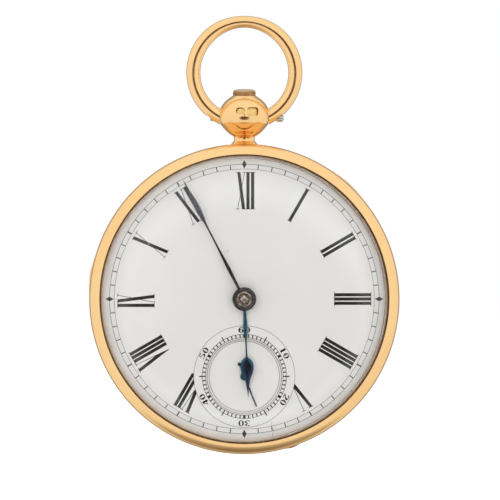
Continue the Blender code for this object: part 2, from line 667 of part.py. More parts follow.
def winding_work():
    """Barrel arbor with its square, ratchet wheel, click and its spring."""
    arbor = turned("barrel_arbor", STEEL, [(0, -0.15), (0.5, -0.15), (0.5, -2.2), (1.1, -2.2), (1.1, -3.35),
                                           (0.66, -3.35), (0.66, -5.3), (0.5, -5.3), (0.5, -5.7), (0, -5.7)], 16)
    square = flat("winding_square", None, -6.15, -5.25, circle(0.8, 4))
    join(place(arbor, (*BARREL, 0)), place(square, (*BARREL, 0)))
    place(flat("ratchet_wheel", STEEL, -5.2, -4.95, saw_teeth(24, 2.65, 3.0), [circle(0.72, 16)]), (*BARREL, 0))
    beak = (polar(3.2, 12, BARREL)[0] - CLICK[0], polar(3.2, 12, BARREL)[1] - CLICK[1])
    away = heading((0, 0), beak)
    outline = arc(0.75, away + 50, away + 310, 12) + [beak]
    place(flat("click", STEEL, -5.2, -4.95, outline, [circle(0.36, 10)]), (*CLICK, 0))
    screw("click_screw", CLICK, -5.45, 0.55, 0.2, 0.3, 1.2)
    blade = strip([(12.3, 4.2), (12.1, 5.6), (11.5, 7.2), (10.5, 8.6), (9.2, 9.6)], 0.3)
    spring = flat("click_spring", SPRING, -5.2, -4.95, blade)
    join(place(spring), rod("click_spring_foot", None, 0.8, (12.3, 3.9, -5.2), (12.3, 3.9, -4.95)))


# ---------------------------------------------------------------- going train

def barrel():
    toward = heading(BARREL, CENTRE)
    drum = flat("barrel", GILT, -2.1, -1.7, gear(80, 0.2, toward), [circle(0.6, 14)])
    wall = turned("barrel_wall", None, [(7.05, -1.9), (7.4, -1.9), (7.4, -3.7), (7.05, -3.7)], 28)
    join(place(drum, (*BARREL, 0)), place(wall, (*BARREL, 0)))
    place(flat("barrel_cover", GILT, -3.68, -3.45, circle(6.95, 28), [circle(0.74)]), (*BARREL, 0))
    turns, per_turn = 5, 14
    coil = []
    for i in range(turns * per_turn + 1):
        coil.append(polar(1.45 + (6.75 - 1.45) * i / (turns * per_turn), 360 * i / per_turn))
    place(flat("mainspring", SPRING, -3.3, -2.25, strip(coil, 0.35)), (*BARREL, 0))


def pinion(name, at, teeth, module, leaves, body, body_r, pivots, pivot_r, turn):
    """A pinion cut in one with its arbor. leaves, body and pivots are its (low, high) levels."""
    arbor = turned(name, STEEL, [(0, pivots[1]), (pivot_r, pivots[1]), (pivot_r, body[1]), (body_r, body[1]),
                                 (body_r, body[0]), (pivot_r, body[0]), (pivot_r, pivots[0]), (0, pivots[0])], 12)
    place(arbor, (*at, 0))
    return join(arbor, place(flat(f"{name}_leaves", None, *leaves, gear(teeth, module, turn)), (*at, 0)))


def gap_at(at, towards, teeth):
    """The turn that puts the gap between two teeth towards a neighbour."""
    return heading(at, towards) + 180 / teeth


def train():
    centre = pinion("centre_arbor", CENTRE, 10, 0.2, (-3.65, -1.6), (-3.85, 3.8), 0.42, (-4.75, 4.2), 0.28,
                    gap_at(CENTRE, BARREL, 10))
    join(centre, place(flat("set_square", None, 3.75, 4.6, circle(0.6, 4))))
    place(flat("centre_wheel", GILT, -1.45, -1.15, gear(64, 0.2, heading(CENTRE, THIRD)),
               [circle(0.5, 12), *crossings(1.3, 5.3, turn=20)]))
    pinion("third_pinion", THIRD, 8, 0.2, (-1.6, -1.06), (-3.8, -1.1), 0.25, (-4.7, -0.3), 0.12,
           gap_at(THIRD, CENTRE, 8))
    place(flat("third_wheel", GILT, -2.1, -1.8, gear(60, 0.18, heading(THIRD, FOURTH)),
               [circle(0.3, 12), *crossings(1.1, 4.5, arm=0.6)]), (*THIRD, 0))
    pinion("fourth_pinion", FOURTH, 8, 0.18, (-2.25, -1.65), (-3.8, 2.15), 0.2, (-4.7, 2.18), 0.12,
           gap_at(FOURTH, THIRD, 8))
    place(flat("fourth_wheel", GILT, -2.75, -2.45, gear(64, 0.14, heading(FOURTH, ESCAPE)),
               [circle(0.26, 12), *crossings(1.0, 3.7, arm=0.5)]), (*FOURTH, 0))
    pinion("escape_pinion", ESCAPE, 8, 0.14, (-2.9, -2.3), (-3.8, -1.1), 0.18, (-4.7, -0.3), 0.1,
           gap_at(ESCAPE, FOURTH, 8))
    place(flat("escape_wheel", GILT, -2.2, -1.9, saw_teeth(15, 2.8, 3.5),
               [circle(0.24, 12), *crossings(0.8, 2.3, arm=0.4)]), (*ESCAPE, 0))


def escapement():
    """Lever, pallet arbor, roller, balance and its spring."""
    to_escape = heading(PALLET, ESCAPE)
    bend = heading(PALLET, BALANCE) - to_escape - 180
    pallets = [(0.1, -1.85), (0.5, -1.98), (0.72, -1.72), (0.45, -1.5), (0.25, -0.6), (0.45, 0), (0.25, 0.6),
               (0.45, 1.5), (0.72, 1.72), (0.5, 1.98), (0.1, 1.85), (-0.5, 0.45)]
    fork = [(-3.2, 0.22), (-3.9, 0.5), (-3.93, 0.26), (-3.5, 0), (-3.93, -0.26), (-3.9, -0.5), (-3.2, -0.22)]
    outline = moved(pallets, to_escape) + moved(fork, to_escape + bend) + moved([(-0.5, -0.45)], to_escape)
    place(flat("lever", STEEL, -2.2, -1.9, outline, [circle(0.2, 10)]), (*PALLET, 0))
    rod("pallet_arbor", STEEL, 0.15, (*PALLET, -2.75), (*PALLET, -0.4), 10)
    rod("balance_staff", STEEL, 0.22, (*BALANCE, -4.8), (*BALANCE, -0.3), 12)
    roller = flat("roller", STEEL, -2.42, -2.25, circle(0.9, 16), [circle(0.27, 12)])
    x, y = BALANCE[0] + 0.68, BALANCE[1]
    join(place(roller, (*BALANCE, 0)), rod("impulse_pin", None, 0.09, (x, y, -2.4), (x, y, -2.0), 6))
    place(flat("balance_wheel", GILT, -3.6, -3.0, circle(6.2, 32),
               [circle(0.27, 12), *crossings(1.1, 5.6, arms=2, arm=0.9, turn=35)]), (*BALANCE, 0))
    turns, per_turn = 5, 12
    coil = []
    for i in range(turns * per_turn + 1):
        x, y = polar(0.6 + 2.8 * i / (turns * per_turn), 360 * i / per_turn)
        coil.append((x, y, -3.95))
    place(wire("balance_spring", SPRING, coil, 0.1, 0), (*BALANCE, 0))


# ---------------------------------------------------------------- the whole watch

case()
pendant()
bow()
bow_screw()
push_piece()
lock_spring()
dial()
seconds_dial()
minute_hand()
hour_hand()
seconds_hand()
cannon_pinion()
hour_wheel()
minute_wheel()
pillar_plate()
three_quarter_plate()
pillars()
cocks()
for number, spot in enumerate(CASE_SCREWS, 1):
    screw(f"case_screw_{number}", spot, -5.25, 1.2, 0.28, 0.3, 0.9)
winding_work()
barrel()
train()
escapement()
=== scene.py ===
"""Looks of the open face pocket watch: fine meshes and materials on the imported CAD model.

Shapes are drawn in millimetres on the bench frame of the CAD source (+X to 3 o'clock, +Y to 12 o'clock, +Z out of
the dial) and stood up by STAND, so that the dial faces -Y and the inner top of the bow is the origin.
"""
import json
import math

import bmesh
import bpy
from mathutils import Matrix, Vector, geometry

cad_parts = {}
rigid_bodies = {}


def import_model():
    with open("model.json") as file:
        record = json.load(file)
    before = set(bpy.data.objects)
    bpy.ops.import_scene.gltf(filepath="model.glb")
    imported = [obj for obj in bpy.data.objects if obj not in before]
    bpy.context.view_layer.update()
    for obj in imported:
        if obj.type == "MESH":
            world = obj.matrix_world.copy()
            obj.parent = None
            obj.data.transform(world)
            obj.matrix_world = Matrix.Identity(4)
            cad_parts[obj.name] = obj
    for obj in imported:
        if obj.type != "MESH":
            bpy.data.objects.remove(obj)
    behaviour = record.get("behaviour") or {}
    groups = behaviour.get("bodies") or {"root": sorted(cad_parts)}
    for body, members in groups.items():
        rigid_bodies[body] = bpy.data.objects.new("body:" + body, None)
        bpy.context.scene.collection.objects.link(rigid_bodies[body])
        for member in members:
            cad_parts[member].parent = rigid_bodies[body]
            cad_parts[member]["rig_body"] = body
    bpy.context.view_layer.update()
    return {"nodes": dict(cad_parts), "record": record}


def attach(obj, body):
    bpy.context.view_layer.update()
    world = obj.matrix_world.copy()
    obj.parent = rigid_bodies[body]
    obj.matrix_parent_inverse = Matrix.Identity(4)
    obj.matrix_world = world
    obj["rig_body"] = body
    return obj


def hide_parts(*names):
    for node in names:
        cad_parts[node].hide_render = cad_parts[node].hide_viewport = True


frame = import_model()
SCENE = bpy.context.scene
SLOTS = {part["node"]: part["material_slot"] for part in frame["record"]["subparts"]}

MM = 0.001
BOW_Z, HOOK_Y = -1.8, 42.12
STAND = Matrix.Scale(MM, 4) @ Matrix(((1, 0, 0, 0), (0, 0, -1, BOW_Z), (0, 1, 0, -HOOK_Y), (0, 0, 0, 1)))
ROUND = 216                     # steps round the case
EASE_STEPS = 3                  # steps round an eased corner
WELD = 0.002                    # points nearer than this are merged after a cut

BORE_R, SNAP_R, BAND_R, CASE_R, LEDGE_R, LIP_R = 22.2, 22.6, 23.7, 24.0, 20.6, 22.27
BAND_FRONT, BAND_BACK, BACK_Z = 1.6, -4.65, -7.5
BOW_Y, BOW_R, BOW_FLAT, BOW_WIRE, BOW_WORN, BOW_SEAT, BOW_PIVOT_Y = 35.12, 7.92, 0.16, 1.1, 0.92, 3.75, 28.07
BALL_SIDE = [(2.05, 31.43), (2.85, 30.82), (3.4, 30.2), (3.8, 29.45), (4.03, 28.6), (4.08, 27.95), (3.91, 27.3),
             (3.35, 26.6), (2.82, 26.0)]      # half width of the ball and height, from its top down
KNUCKLE_R, KNUCKLE_END, HINGE_GAP, PIN_R, PIN_BORE_R = 0.75, 4.9, 0.1, 0.25, 0.3
ROOM_SLACK = 0.7 * HINGE_GAP    # under HINGE_GAP, so that no room ends in the plane of a knuckle's end
FRONT_HINGE = (279, 23.45, BAND_FRONT + 0.07)      # direction clockwise from 12 o'clock, radius and level of the axis
FRONT_CROWN, FRONT_PIN = (24.17, 12.0), 2.6        # reach and radius of the knuckles' rounding; half the pin's length
BACK_HINGE = (42, 23.54, BAND_BACK - 0.07)
BACK_CROWN, BACK_PIN = (24.29, 15.2), 3.1
DIAL_R = 22.1
MINUTE_LEVEL, HOUR_LEVEL, SECONDS_LEVEL = 3.15, 2.55, 1.95
MINUTE_AT, HOUR_AT, SECONDS_AT = -332.8, -177.7, -158.0

CENTRE, FOURTH, THIRD, BARREL = (0.0, 0.0), (0.0, -11.946), (2.94, -6.572), (4.5, 7.79)
ESCAPE, PALLET, BALANCE, MINUTE_WORK = (-4.568, -14.076), (-7.594, -11.537), (-10.462, -7.441), (-3.118, 1.8)
PALLET_FOOT, COCK_FOOT, CLICK = (-11.6, -14.6), (-16.5, 1.5), (8.82, 6.22)


# ---------------------------------------------------------------- shape tools

def polar(radius, degrees, centre=(0.0, 0.0)):
    a = math.radians(degrees)
    return (centre[0] + radius * math.cos(a), centre[1] + radius * math.sin(a))


def arc(radius, start, end, count, centre=(0.0, 0.0)):
    return [polar(radius, start + (end - start) * i / (count - 1), centre) for i in range(count)]


def circle(radius, count=48, centre=(0.0, 0.0)):
    return [polar(radius, 360 * i / count, centre) for i in range(count)]


def through(points, per=6):
    """A smooth line through points, with per steps between each pair."""
    pts = [Vector(p) for p in points]
    pts = [2 * pts[0] - pts[1]] + pts + [2 * pts[-1] - pts[-2]]
    line = []
    for a, b, c, d in zip(pts, pts[1:], pts[2:], pts[3:]):
        for k in range(per):
            t = k / per
            line.append(tuple(0.5 * (2 * b + (c - a) * t + (2 * a - 5 * b + 4 * c - d) * t ** 2
                                     + (3 * b - a - 3 * c + d) * t ** 3)))
    return line + [tuple(pts[-2])]


def eased(points, radius=0.07, closed=True, corner=22):
    """A profile with its corners rounded."""
    out = []
    for i, point in enumerate(points):
        p, before, after = (Vector(q) for q in (point, points[i - 1], points[(i + 1) % len(points)]))
        back, on = before - p, after - p
        if (not closed and i in (0, len(points) - 1)) or math.degrees((-back).angle(on, 0)) < corner:
            out.append(tuple(p))
            continue
        reach = min(radius, 0.45 * back.length, 0.45 * on.length)
        start, end = p + back.normalized() * reach, p + on.normalized() * reach
        out += [tuple(start.lerp(p, k / EASE_STEPS).lerp(p.lerp(end, k / EASE_STEPS), k / EASE_STEPS))
                for k in range(EASE_STEPS + 1)]
    return out


def link(name, data):
    obj = bpy.data.objects.new(name, data)
    SCENE.collection.objects.link(obj)
    return obj


def from_bmesh(bm, at=(0, 0, 0), turn=None):
    """A linked object of a bmesh, turned by a matrix or by degrees about Z and moved to a bench position."""
    if isinstance(turn, (int, float)):
        turn = Matrix.Rotation(math.radians(turn), 3, "Z")
    matrix = Matrix.Translation(at) @ (turn.to_4x4() if turn else Matrix.Identity(4))
    bmesh.ops.transform(bm, matrix=matrix, verts=bm.verts)
    bmesh.ops.recalc_face_normals(bm, faces=bm.faces)
    mesh = bpy.data.meshes.new("shape")
    bm.to_mesh(mesh)
    bm.free()
    return link("shape", mesh)


def skin(bm, rows):
    """Faces between rows of as many vertices, or of a single one where a row shrinks to a point."""
    for low, high in zip(rows, rows[1:]):
        count = max(len(low), len(high))
        for i in range(count if count > 1 else 0):
            j = (i + 1) % count
            quad = (low[i % len(low)], low[j % len(low)], high[j % len(high)], high[i % len(high)])
            bm.faces.new(dict.fromkeys(quad))


def lathe(profile, steps=ROUND, at=(0, 0, 0), turn=None):
    """A turned piece about Z from (radius, height) points; it closes on the axis or on its first point."""
    bm = bmesh.new()
    rings = []
    for r, z in profile:
        count = 1 if r < 1e-6 else steps
        rings.append([bm.verts.new((*polar(r, 360 * i / steps), z)) for i in range(count)])
    skin(bm, rings + rings[:1] if profile[0][0] > 1e-6 else rings)
    return from_bmesh(bm, at, turn)


def curve_mesh(curve, at=(0, 0, 0), turn=None):
    guide = link("guide", curve)
    mesh = bpy.data.meshes.new_from_object(guide.evaluated_get(bpy.context.evaluated_depsgraph_get()))
    bpy.data.objects.remove(guide, do_unlink=True)
    bm = bmesh.new()
    bm.from_mesh(mesh)
    bmesh.ops.remove_doubles(bm, verts=bm.verts, dist=0.0005)
    bmesh.ops.dissolve_limit(bm, angle_limit=0.001, verts=bm.verts, edges=bm.edges)
    return from_bmesh(bm, at, turn)


def flat(low, high, outline, holes=(), at=(0.0, 0.0), turn=None):
    """A piece cut from sheet between two levels."""
    curve = bpy.data.curves.new("outline", "CURVE")
    curve.dimensions, curve.fill_mode, curve.extrude = "2D", "BOTH", (high - low) / 2
    for loop in (outline, *holes):
        spline = curve.splines.new("POLY")
        spline.points.add(len(loop) - 1)
        spline.use_cyclic_u = True
        for point, (x, y) in zip(spline.points, loop):
            point.co = (x, y, 0, 1)
    return curve_mesh(curve, (*at, (low + high) / 2), turn)


def wire(points, radius, resolution=3, at=(0, 0, 0)):
    curve = bpy.data.curves.new("wire", "CURVE")
    curve.dimensions, curve.bevel_depth, curve.bevel_resolution, curve.use_fill_caps = "3D", radius, resolution, True
    spline = curve.splines.new("POLY")
    spline.points.add(len(points) - 1)
    for point, spot in zip(spline.points, points):
        point.co = (*spot, 1)
    return curve_mesh(curve, at)


def rod(radius, start, end, sides=32, chamfer=0.0):
    """A round bar between two bench points."""
    start, end = Vector(start), Vector(end)
    length = (end - start).length
    profile = [(0, 0), (radius - chamfer, 0), (radius, chamfer), (radius, length - chamfer),
               (radius - chamfer, length), (0, length)]
    if not chamfer:
        profile = [(0, 0), (radius, 0), (radius, length), (0, length)]
    return lathe(profile, sides, start, Vector((0, 0, 1)).rotation_difference(end - start).to_matrix())


def block(low, high, turn=None):
    low, high = Vector(low), Vector(high)
    bm = bmesh.new()
    bmesh.ops.create_cube(bm, size=1)
    bmesh.ops.scale(bm, vec=high - low, verts=bm.verts)
    bmesh.ops.translate(bm, vec=(low + high) / 2, verts=bm.verts)
    return from_bmesh(bm, turn=turn)


def settle(obj):
    """Bake an object's modifiers into its mesh."""
    mesh = bpy.data.meshes.new_from_object(obj.evaluated_get(bpy.context.evaluated_depsgraph_get()))
    obj.modifiers.clear()
    obj.data = mesh
    return obj


def combine(obj, operation, others):
    for other in others:
        step = obj.modifiers.new("step", "BOOLEAN")
        step.operation, step.solver, step.object = operation, "EXACT", other
        obj.modifiers.new("weld", "WELD").merge_threshold = WELD
    settle(obj)
    for other in others:
        bpy.data.objects.remove(other, do_unlink=True)
    return obj


def cut(obj, *others):
    return combine(obj, "DIFFERENCE", others)


def join(obj, *others):
    return combine(obj, "UNION", others)


def chamfered(obj, width, segments=2):
    step = obj.modifiers.new("edge", "BEVEL")
    step.width, step.segments, step.limit_method, step.angle_limit = width, segments, "ANGLE", math.radians(40)
    return settle(obj)


def finish_piece(name, obj, look, body, nodes=(), sharp=38):
    """Stand a bench shape up in the row frame, give it its material, and tie it to its body."""
    obj.name = obj.data.name = name
    obj.data.transform(STAND)
    obj.data.materials.clear()
    obj.data.materials.append(look)
    obj.data.shade_smooth()
    obj.data.set_sharp_from_angle(angle=math.radians(sharp))
    even = obj.modifiers.new("even", "WEIGHTED_NORMAL")
    even.keep_sharp = True
    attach(obj, body)
    if nodes:
        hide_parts(*nodes)
    return obj


def stand_in(node, obj, look=None, sharp=38):
    """A fine piece in place of one CAD node, on its body and in its slot."""
    slot = SLOTS[node]
    return finish_piece(f"{node}_fine", obj, look or LOOKS[slot], frame["nodes"][node]["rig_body"], (node,), sharp)


# ---------------------------------------------------------------- materials

PUSH_LOW, PUSH_HEIGHT = (31.5 - HOOK_Y) * MM, 1.07 * MM      # where the push piece stands out of the ball


class Tree:
    """A node tree, built by short calls."""

    def __init__(self, tree):
        self.tree = tree

    def add(self, kind, settings=(), **inputs):
        made = self.tree.nodes.new(kind)
        for key, value in dict(settings).items():
            setattr(made, key, value)
        for key, value in inputs.items():
            self.set(made.inputs[key.replace("_", " ")], value)
        return made

    def set(self, socket, value):
        if isinstance(value, bpy.types.NodeSocket):
            self.tree.links.new(value, socket)
        else:
            socket.default_value = value

    def ramp(self, value, *stops, ease="LINEAR"):
        made = self.add("ShaderNodeValToRGB", Fac=value)
        made.color_ramp.interpolation = ease
        points = made.color_ramp.elements
        while len(points) < len(stops):
            points.new(0.5)
        for point, (at, colour) in zip(points, stops):
            point.position = at
            point.color = (*colour, 1) if hasattr(colour, "__len__") else (colour, colour, colour, 1)
        return made.outputs["Color"]

    def mix(self, share, a, b, blend="MIX"):
        made = self.add("ShaderNodeMix", {"data_type": "RGBA", "blend_type": blend})
        self.set(made.inputs[0], share)
        for socket, value in ((made.inputs[6], a), (made.inputs[7], b)):
            self.set(socket, value if isinstance(value, bpy.types.NodeSocket) else (*value, 1))
        return made.outputs[2]

    def math(self, operation, a, b=0.0, c=0.0):
        made = self.add("ShaderNodeMath", {"operation": operation})
        for socket, value in zip(made.inputs, (a, b, c)):
            self.set(socket, value)
        return made.outputs[0]

    def vector_math(self, operation, *values):
        made = self.add("ShaderNodeVectorMath", {"operation": operation})
        for socket, value in zip(made.inputs, values):
            self.set(socket, value)
        return made.outputs["Value"]


class Nodes(Tree):
    """A material with a Principled shader."""

    def __init__(self, name, **shader_values):
        self.material = bpy.data.materials.new(name)
        self.material.use_nodes = True
        super().__init__(self.material.node_tree)
        self.shader = self.tree.nodes["Principled BSDF"]
        self.place = self.add("ShaderNodeTexCoord").outputs["Object"]
        for key, value in shader_values.items():
            self.shader.inputs[key.replace("_", " ")].default_value = value

    def noise(self, scale, detail=3, rough=0.55, stretch=None, twist=(0, 0, 0)):
        place = self.place
        if stretch:
            place = self.add("ShaderNodeMapping", Vector=place, Scale=stretch, Rotation=twist).outputs[0]
        return self.add("ShaderNodeTexNoise", Vector=place, Scale=scale, Detail=detail, Roughness=rough).outputs["Fac"]

    def dirt_and_painted_shade(self, colour, dirt_and_shade, distance=0.0012, low=0.25, high=0.8):
        """Dark dirt and painted shade where surfaces meet closely: the colour is darkened by ambient occlusion."""
        shade = self.add("ShaderNodeAmbientOcclusion", {"samples": 6}, Distance=distance)
        open_part = self.ramp(shade.outputs["AO"], (low, 0.0), (high, 1.0), ease="EASE")
        return self.mix(open_part, dirt_and_shade, colour)

    def bump(self, height, distance, strength=1.0):
        self.set(self.shader.inputs["Normal"],
                 self.add("ShaderNodeBump", Height=height, Distance=distance, Strength=strength).outputs[0])

    def shade(self, **inputs):
        for key, value in inputs.items():
            self.set(self.shader.inputs[key.replace("_", " ")], value)
        return self.material


def scratches(look, scale=900):
    """Fine hairlines in two directions, as a height from 0 to 1."""
    lines = []
    for twist in ((0.3, 0.5, 0.4), (1.3, -0.4, 1.1)):
        streak = look.noise(scale, 2, 0.5, (0.06, 1, 1), twist)
        lines.append(look.ramp(streak, (0.60, 1.0), (0.66, 0.0)))
    return look.math("MULTIPLY", lines[0], lines[1])


def gold_look():
    look = Nodes("gold", Metallic=1.0)
    tone = look.ramp(look.noise(70, 3), (0.3, (0.93, 0.600, 0.270)), (0.7, (0.95, 0.640, 0.310)))
    wear = look.noise(420, 4, 0.62)
    # Dirt and painted shade: the gold turns dark brown where surfaces meet closely.
    colour = look.dirt_and_painted_shade(tone, (0.30, 0.12, 0.035), 0.0011, 0.12, 0.62)
    fine = look.math("ADD", look.math("MULTIPLY", scratches(look), 0.6), look.math("MULTIPLY", look.noise(260, 3), 0.8))
    look.bump(fine, 0.0000045)
    return look.shade(Base_Color=colour, Roughness=look.ramp(wear, (0.35, 0.10), (0.75, 0.23)))


def struck_look():
    """The grainy, slightly dirty floor of a punched mark, with painted shade in its corners."""
    look = Nodes("struck_gold", Metallic=1.0)
    tone = look.ramp(look.noise(2600, 3, 0.6), (0.35, (0.80, 0.52, 0.16)), (0.65, (0.95, 0.70, 0.30)))
    look.bump(look.noise(3800, 2, 0.6), 0.00002)
    # Dirt and painted shade: darker where the field's walls close in, by ambient occlusion.
    return look.shade(Base_Color=look.dirt_and_painted_shade(tone, (0.22, 0.09, 0.02), 0.0005, 0.1, 0.7),
                      Roughness=look.ramp(look.noise(3000, 2), (0.3, 0.35), (0.7, 0.5)))


def enamel_look():
    look = Nodes("enamel", IOR=1.5)
    tone = look.ramp(look.noise(90, 4), (0.35, (0.805, 0.805, 0.803)), (0.68, (0.84, 0.84, 0.838)))
    specks = look.add("ShaderNodeTexVoronoi", Vector=look.place, Scale=330.0)
    rare = look.ramp(look.noise(210, 1), (0.66, 0.0), (0.70, 1.0))
    dot = look.ramp(specks.outputs["Distance"], (0.045, 1.0), (0.085, 0.0))
    from_middle = look.add("ShaderNodeMapping", Vector=look.place, Scale=(1, 0, 1), Location=(0, 0, HOOK_Y * MM))
    reach = look.vector_math("LENGTH", from_middle.outputs[0])
    # Painted light: the enamel turns paler toward its rim, making up for the bezel's shade there.
    rim = look.ramp(look.math("DIVIDE", reach, DIAL_R * MM), (0.88, 0.0), (0.98, 1.0))
    tone = look.mix(rim, tone, (0.97, 0.965, 0.96))
    colour = look.mix(look.math("MULTIPLY", look.math("MULTIPLY", rare, dot), 0.55), tone, (0.30, 0.28, 0.25))
    look.bump(look.noise(55, 2), 0.00002)
    return look.shade(Base_Color=colour, Roughness=look.ramp(look.noise(600, 3), (0.3, 0.07), (0.8, 0.16)))


def mottled_look(name, tone, rough, **shader_values):
    """Colour and roughness that change with noise, each given as (noise, low stop, high stop)."""
    look = Nodes(name, **shader_values)
    return look.shade(Base_Color=look.ramp(look.noise(*tone[0]), *tone[1:]),
                      Roughness=look.ramp(look.noise(*rough[0]), *rough[1:]))


def edge_look(name, dark, light):
    return mottled_look(name, ((400, 3), (0.3, dark), (0.7, light)), ((900, 2), (0.3, 0.3), (0.7, 0.5)), IOR=1.5)


def steel_look(name, low, high, rough=(0.16, 0.3), patches=180):
    look = Nodes(name, Metallic=1.0)
    tone = look.ramp(look.noise(patches, 4), (0.3, low), (0.72, high))
    look.bump(look.math("ADD", scratches(look, 1300), look.noise(2500, 2)), 0.0000025)
    # Dirt and painted shade: the steel turns near black where surfaces meet closely.
    return look.shade(Base_Color=look.dirt_and_painted_shade(tone, (0.05, 0.035, 0.02), 0.0006, 0.1, 0.5),
                      Roughness=look.ramp(look.noise(700, 3), (0.3, rough[0]), (0.75, rough[1])))


def blued_look(name, deep, mid, bright, rough):
    look = Nodes(name, Metallic=1.0)
    tone = look.ramp(look.noise(240, 2, 0.5, (1, 1, 0.5)), (0.36, deep), (0.5, mid), (0.66, bright))
    look.bump(look.math("ADD", scratches(look, 1600), look.noise(3000, 2)), 0.0000012)
    return look.shade(Base_Color=tone, Roughness=look.ramp(look.noise(800, 3), (0.3, rough), (0.75, rough + 0.12)))


def worn_brass_look():
    """The push piece: browned on its side, rubbed pale on top."""
    look = Nodes("worn_brass", Metallic=1.0)
    height = look.add("ShaderNodeSeparateXYZ", Vector=look.place).outputs["Z"]
    share = look.math("MULTIPLY_ADD", height, 1 / PUSH_HEIGHT, -PUSH_LOW / PUSH_HEIGHT)
    rubbed = look.ramp(share, (0.55, 0.0), (0.75, 1.0))
    side = look.ramp(look.noise(900, 3), (0.3, (0.26, 0.125, 0.045)), (0.7, (0.46, 0.26, 0.11)))
    look.bump(scratches(look, 1300), 0.000003)
    return look.shade(Base_Color=look.mix(rubbed, side, (0.62, 0.50, 0.33)),
                      Roughness=look.ramp(look.noise(1100, 3), (0.3, 0.2), (0.7, 0.38)))


def gilt_look():
    look = Nodes("gilt_brass", Metallic=1.0)
    tone = look.ramp(look.noise(120, 4), (0.3, (0.72, 0.49, 0.19)), (0.7, (0.84, 0.60, 0.27)))
    look.bump(look.noise(9000, 2, 0.7), 0.000008)
    # Dirt and painted shade: the gilt turns dark brown where surfaces meet closely.
    return look.shade(Base_Color=look.dirt_and_painted_shade(tone, (0.16, 0.08, 0.02), 0.0009),
                      Roughness=look.ramp(look.noise(2500, 3), (0.3, 0.30), (0.7, 0.46)))


def glass_look():
    look = Nodes("crystal_glass", Transmission_Weight=1.0, IOR=1.34)
    tone = look.ramp(look.noise(40, 2), (0.3, (0.985, 0.99, 0.985)), (0.7, (1.0, 1.0, 1.0)))
    marks = look.ramp(look.noise(500, 3, 0.5, (0.08, 1, 1), (0.2, 0.9, 0.5)), (0.70, 0.0), (0.78, 0.05))
    return look.shade(Base_Color=tone, Roughness=marks)


LOOKS = {
    "gold": gold_look(),
    "enamel": enamel_look(),
    "crystal_glass": glass_look(),
    "blued_steel": blued_look("blued_steel", (0.026, 0.030, 0.072), (0.020, 0.062, 0.095), (0.020, 0.090, 0.105), 0.16),
    "polished_steel": steel_look("polished_steel", (0.40, 0.375, 0.335), (0.56, 0.54, 0.50)),
    "gilt_brass": gilt_look(),
    "spring_steel": blued_look("spring_steel", (0.035, 0.055, 0.16), (0.05, 0.08, 0.22), (0.09, 0.07, 0.19), 0.2),
}
PAINT = mottled_look("dial_black", ((900, 3), (0.3, (0.008, 0.008, 0.009)), (0.75, (0.024, 0.023, 0.024))),
                     ((1500, 2), (0.3, 0.25), (0.7, 0.45)), IOR=1.3)
RUBY = mottled_look("ruby", ((1200, 2), (0.3, (0.42, 0.012, 0.05)), (0.7, (0.62, 0.03, 0.09))),
                    ((2500, 2), (0.3, 0.05), (0.7, 0.12)), IOR=1.76, Coat_Weight=0.5)
STRUCK = struck_look()
FIRED_EDGE = edge_look("fired_edge", (0.12, 0.070, 0.050), (0.24, 0.145, 0.10))
# Painted shade: a near-black brown for the shadowed gap between the bezel's lip and the crystal.
SEAT_PAINTED_SHADE = edge_look("seat_painted_shade", (0.020, 0.008, 0.004), (0.050, 0.022, 0.010))
# Painted reflection: a grey ring on the crystal for the bezel's inner wall seen in the crystal's edge.
GLASS_PAINTED_REFLECTION = edge_look("glass_painted_reflection", (0.10, 0.075, 0.080), (0.19, 0.15, 0.155))
MINUTE_LOOK = blued_look("burnt_blue", (0.020, 0.020, 0.024), (0.036, 0.036, 0.046), (0.065, 0.065, 0.09), 0.18)
BOSS_LOOK = steel_look("burnt_steel", (0.045, 0.042, 0.042), (0.34, 0.30, 0.27), (0.2, 0.4), patches=1500)
PUSH_LOOK = worn_brass_look()


# ---------------------------------------------------------------- case

def hinge_point(hinge, along, out=0.0):
    degrees, radius, level = hinge
    x, y = clock_point(degrees, along, radius + out)
    return Vector((x, y, level))


def knuckle(hinge, crown, start, end):
    """A length of hinge tube with its outside filed to the crown."""
    reach, rounding = crown
    middle, half = hinge_point(hinge, 0, reach - rounding - hinge[1]), Vector((0, 0, 3))
    tube = rod(KNUCKLE_R, hinge_point(hinge, start), hinge_point(hinge, end), 40, 0.04)
    return combine(tube, "INTERSECT", [rod(rounding, middle - half, middle + half, 360)])


def hinged(owners, hinge, crown, pin_half, knuckles):
    """Cut room for the others' knuckles out of every owner, then join each owner's own and bore them."""
    for name, obj in owners.items():
        rooms = []
        for other, start, end in knuckles:
            if other != name and rooms and start - rooms[-1][1] < 3 * HINGE_GAP:
                rooms[-1][1] = end
            elif other != name:
                rooms.append([start, end])
        cut(obj, *(rod(KNUCKLE_R + HINGE_GAP, hinge_point(hinge, start - ROOM_SLACK),
                       hinge_point(hinge, end + ROOM_SLACK)) for start, end in rooms))
        own = [(start, end) for other, start, end in knuckles if other == name]
        join(obj, *(knuckle(hinge, crown, start, end) for start, end in own))
        bore_half = pin_half + HINGE_GAP / 2
        cut(obj, *(rod(PIN_BORE_R, hinge_point(hinge, max(start - HINGE_GAP, -bore_half)),
                       hinge_point(hinge, min(end + HINGE_GAP, bore_half)), 24) for start, end in own))


def thumb_lip(inner, start, end, low, high):
    """A thumbnail lip that stands proud of the rim, with tapered ends."""
    middle = (start + end) / 2
    outer = [polar(CASE_R + 0.2 * math.cos(math.pi / 2 * (a - middle) / (end - middle)) - 0.02, a)
             for a in (start + (end - start) * i / 20 for i in range(21))]
    return chamfered(flat(low, high, outer + arc(inner, end, start, 9)), 0.06, 3)


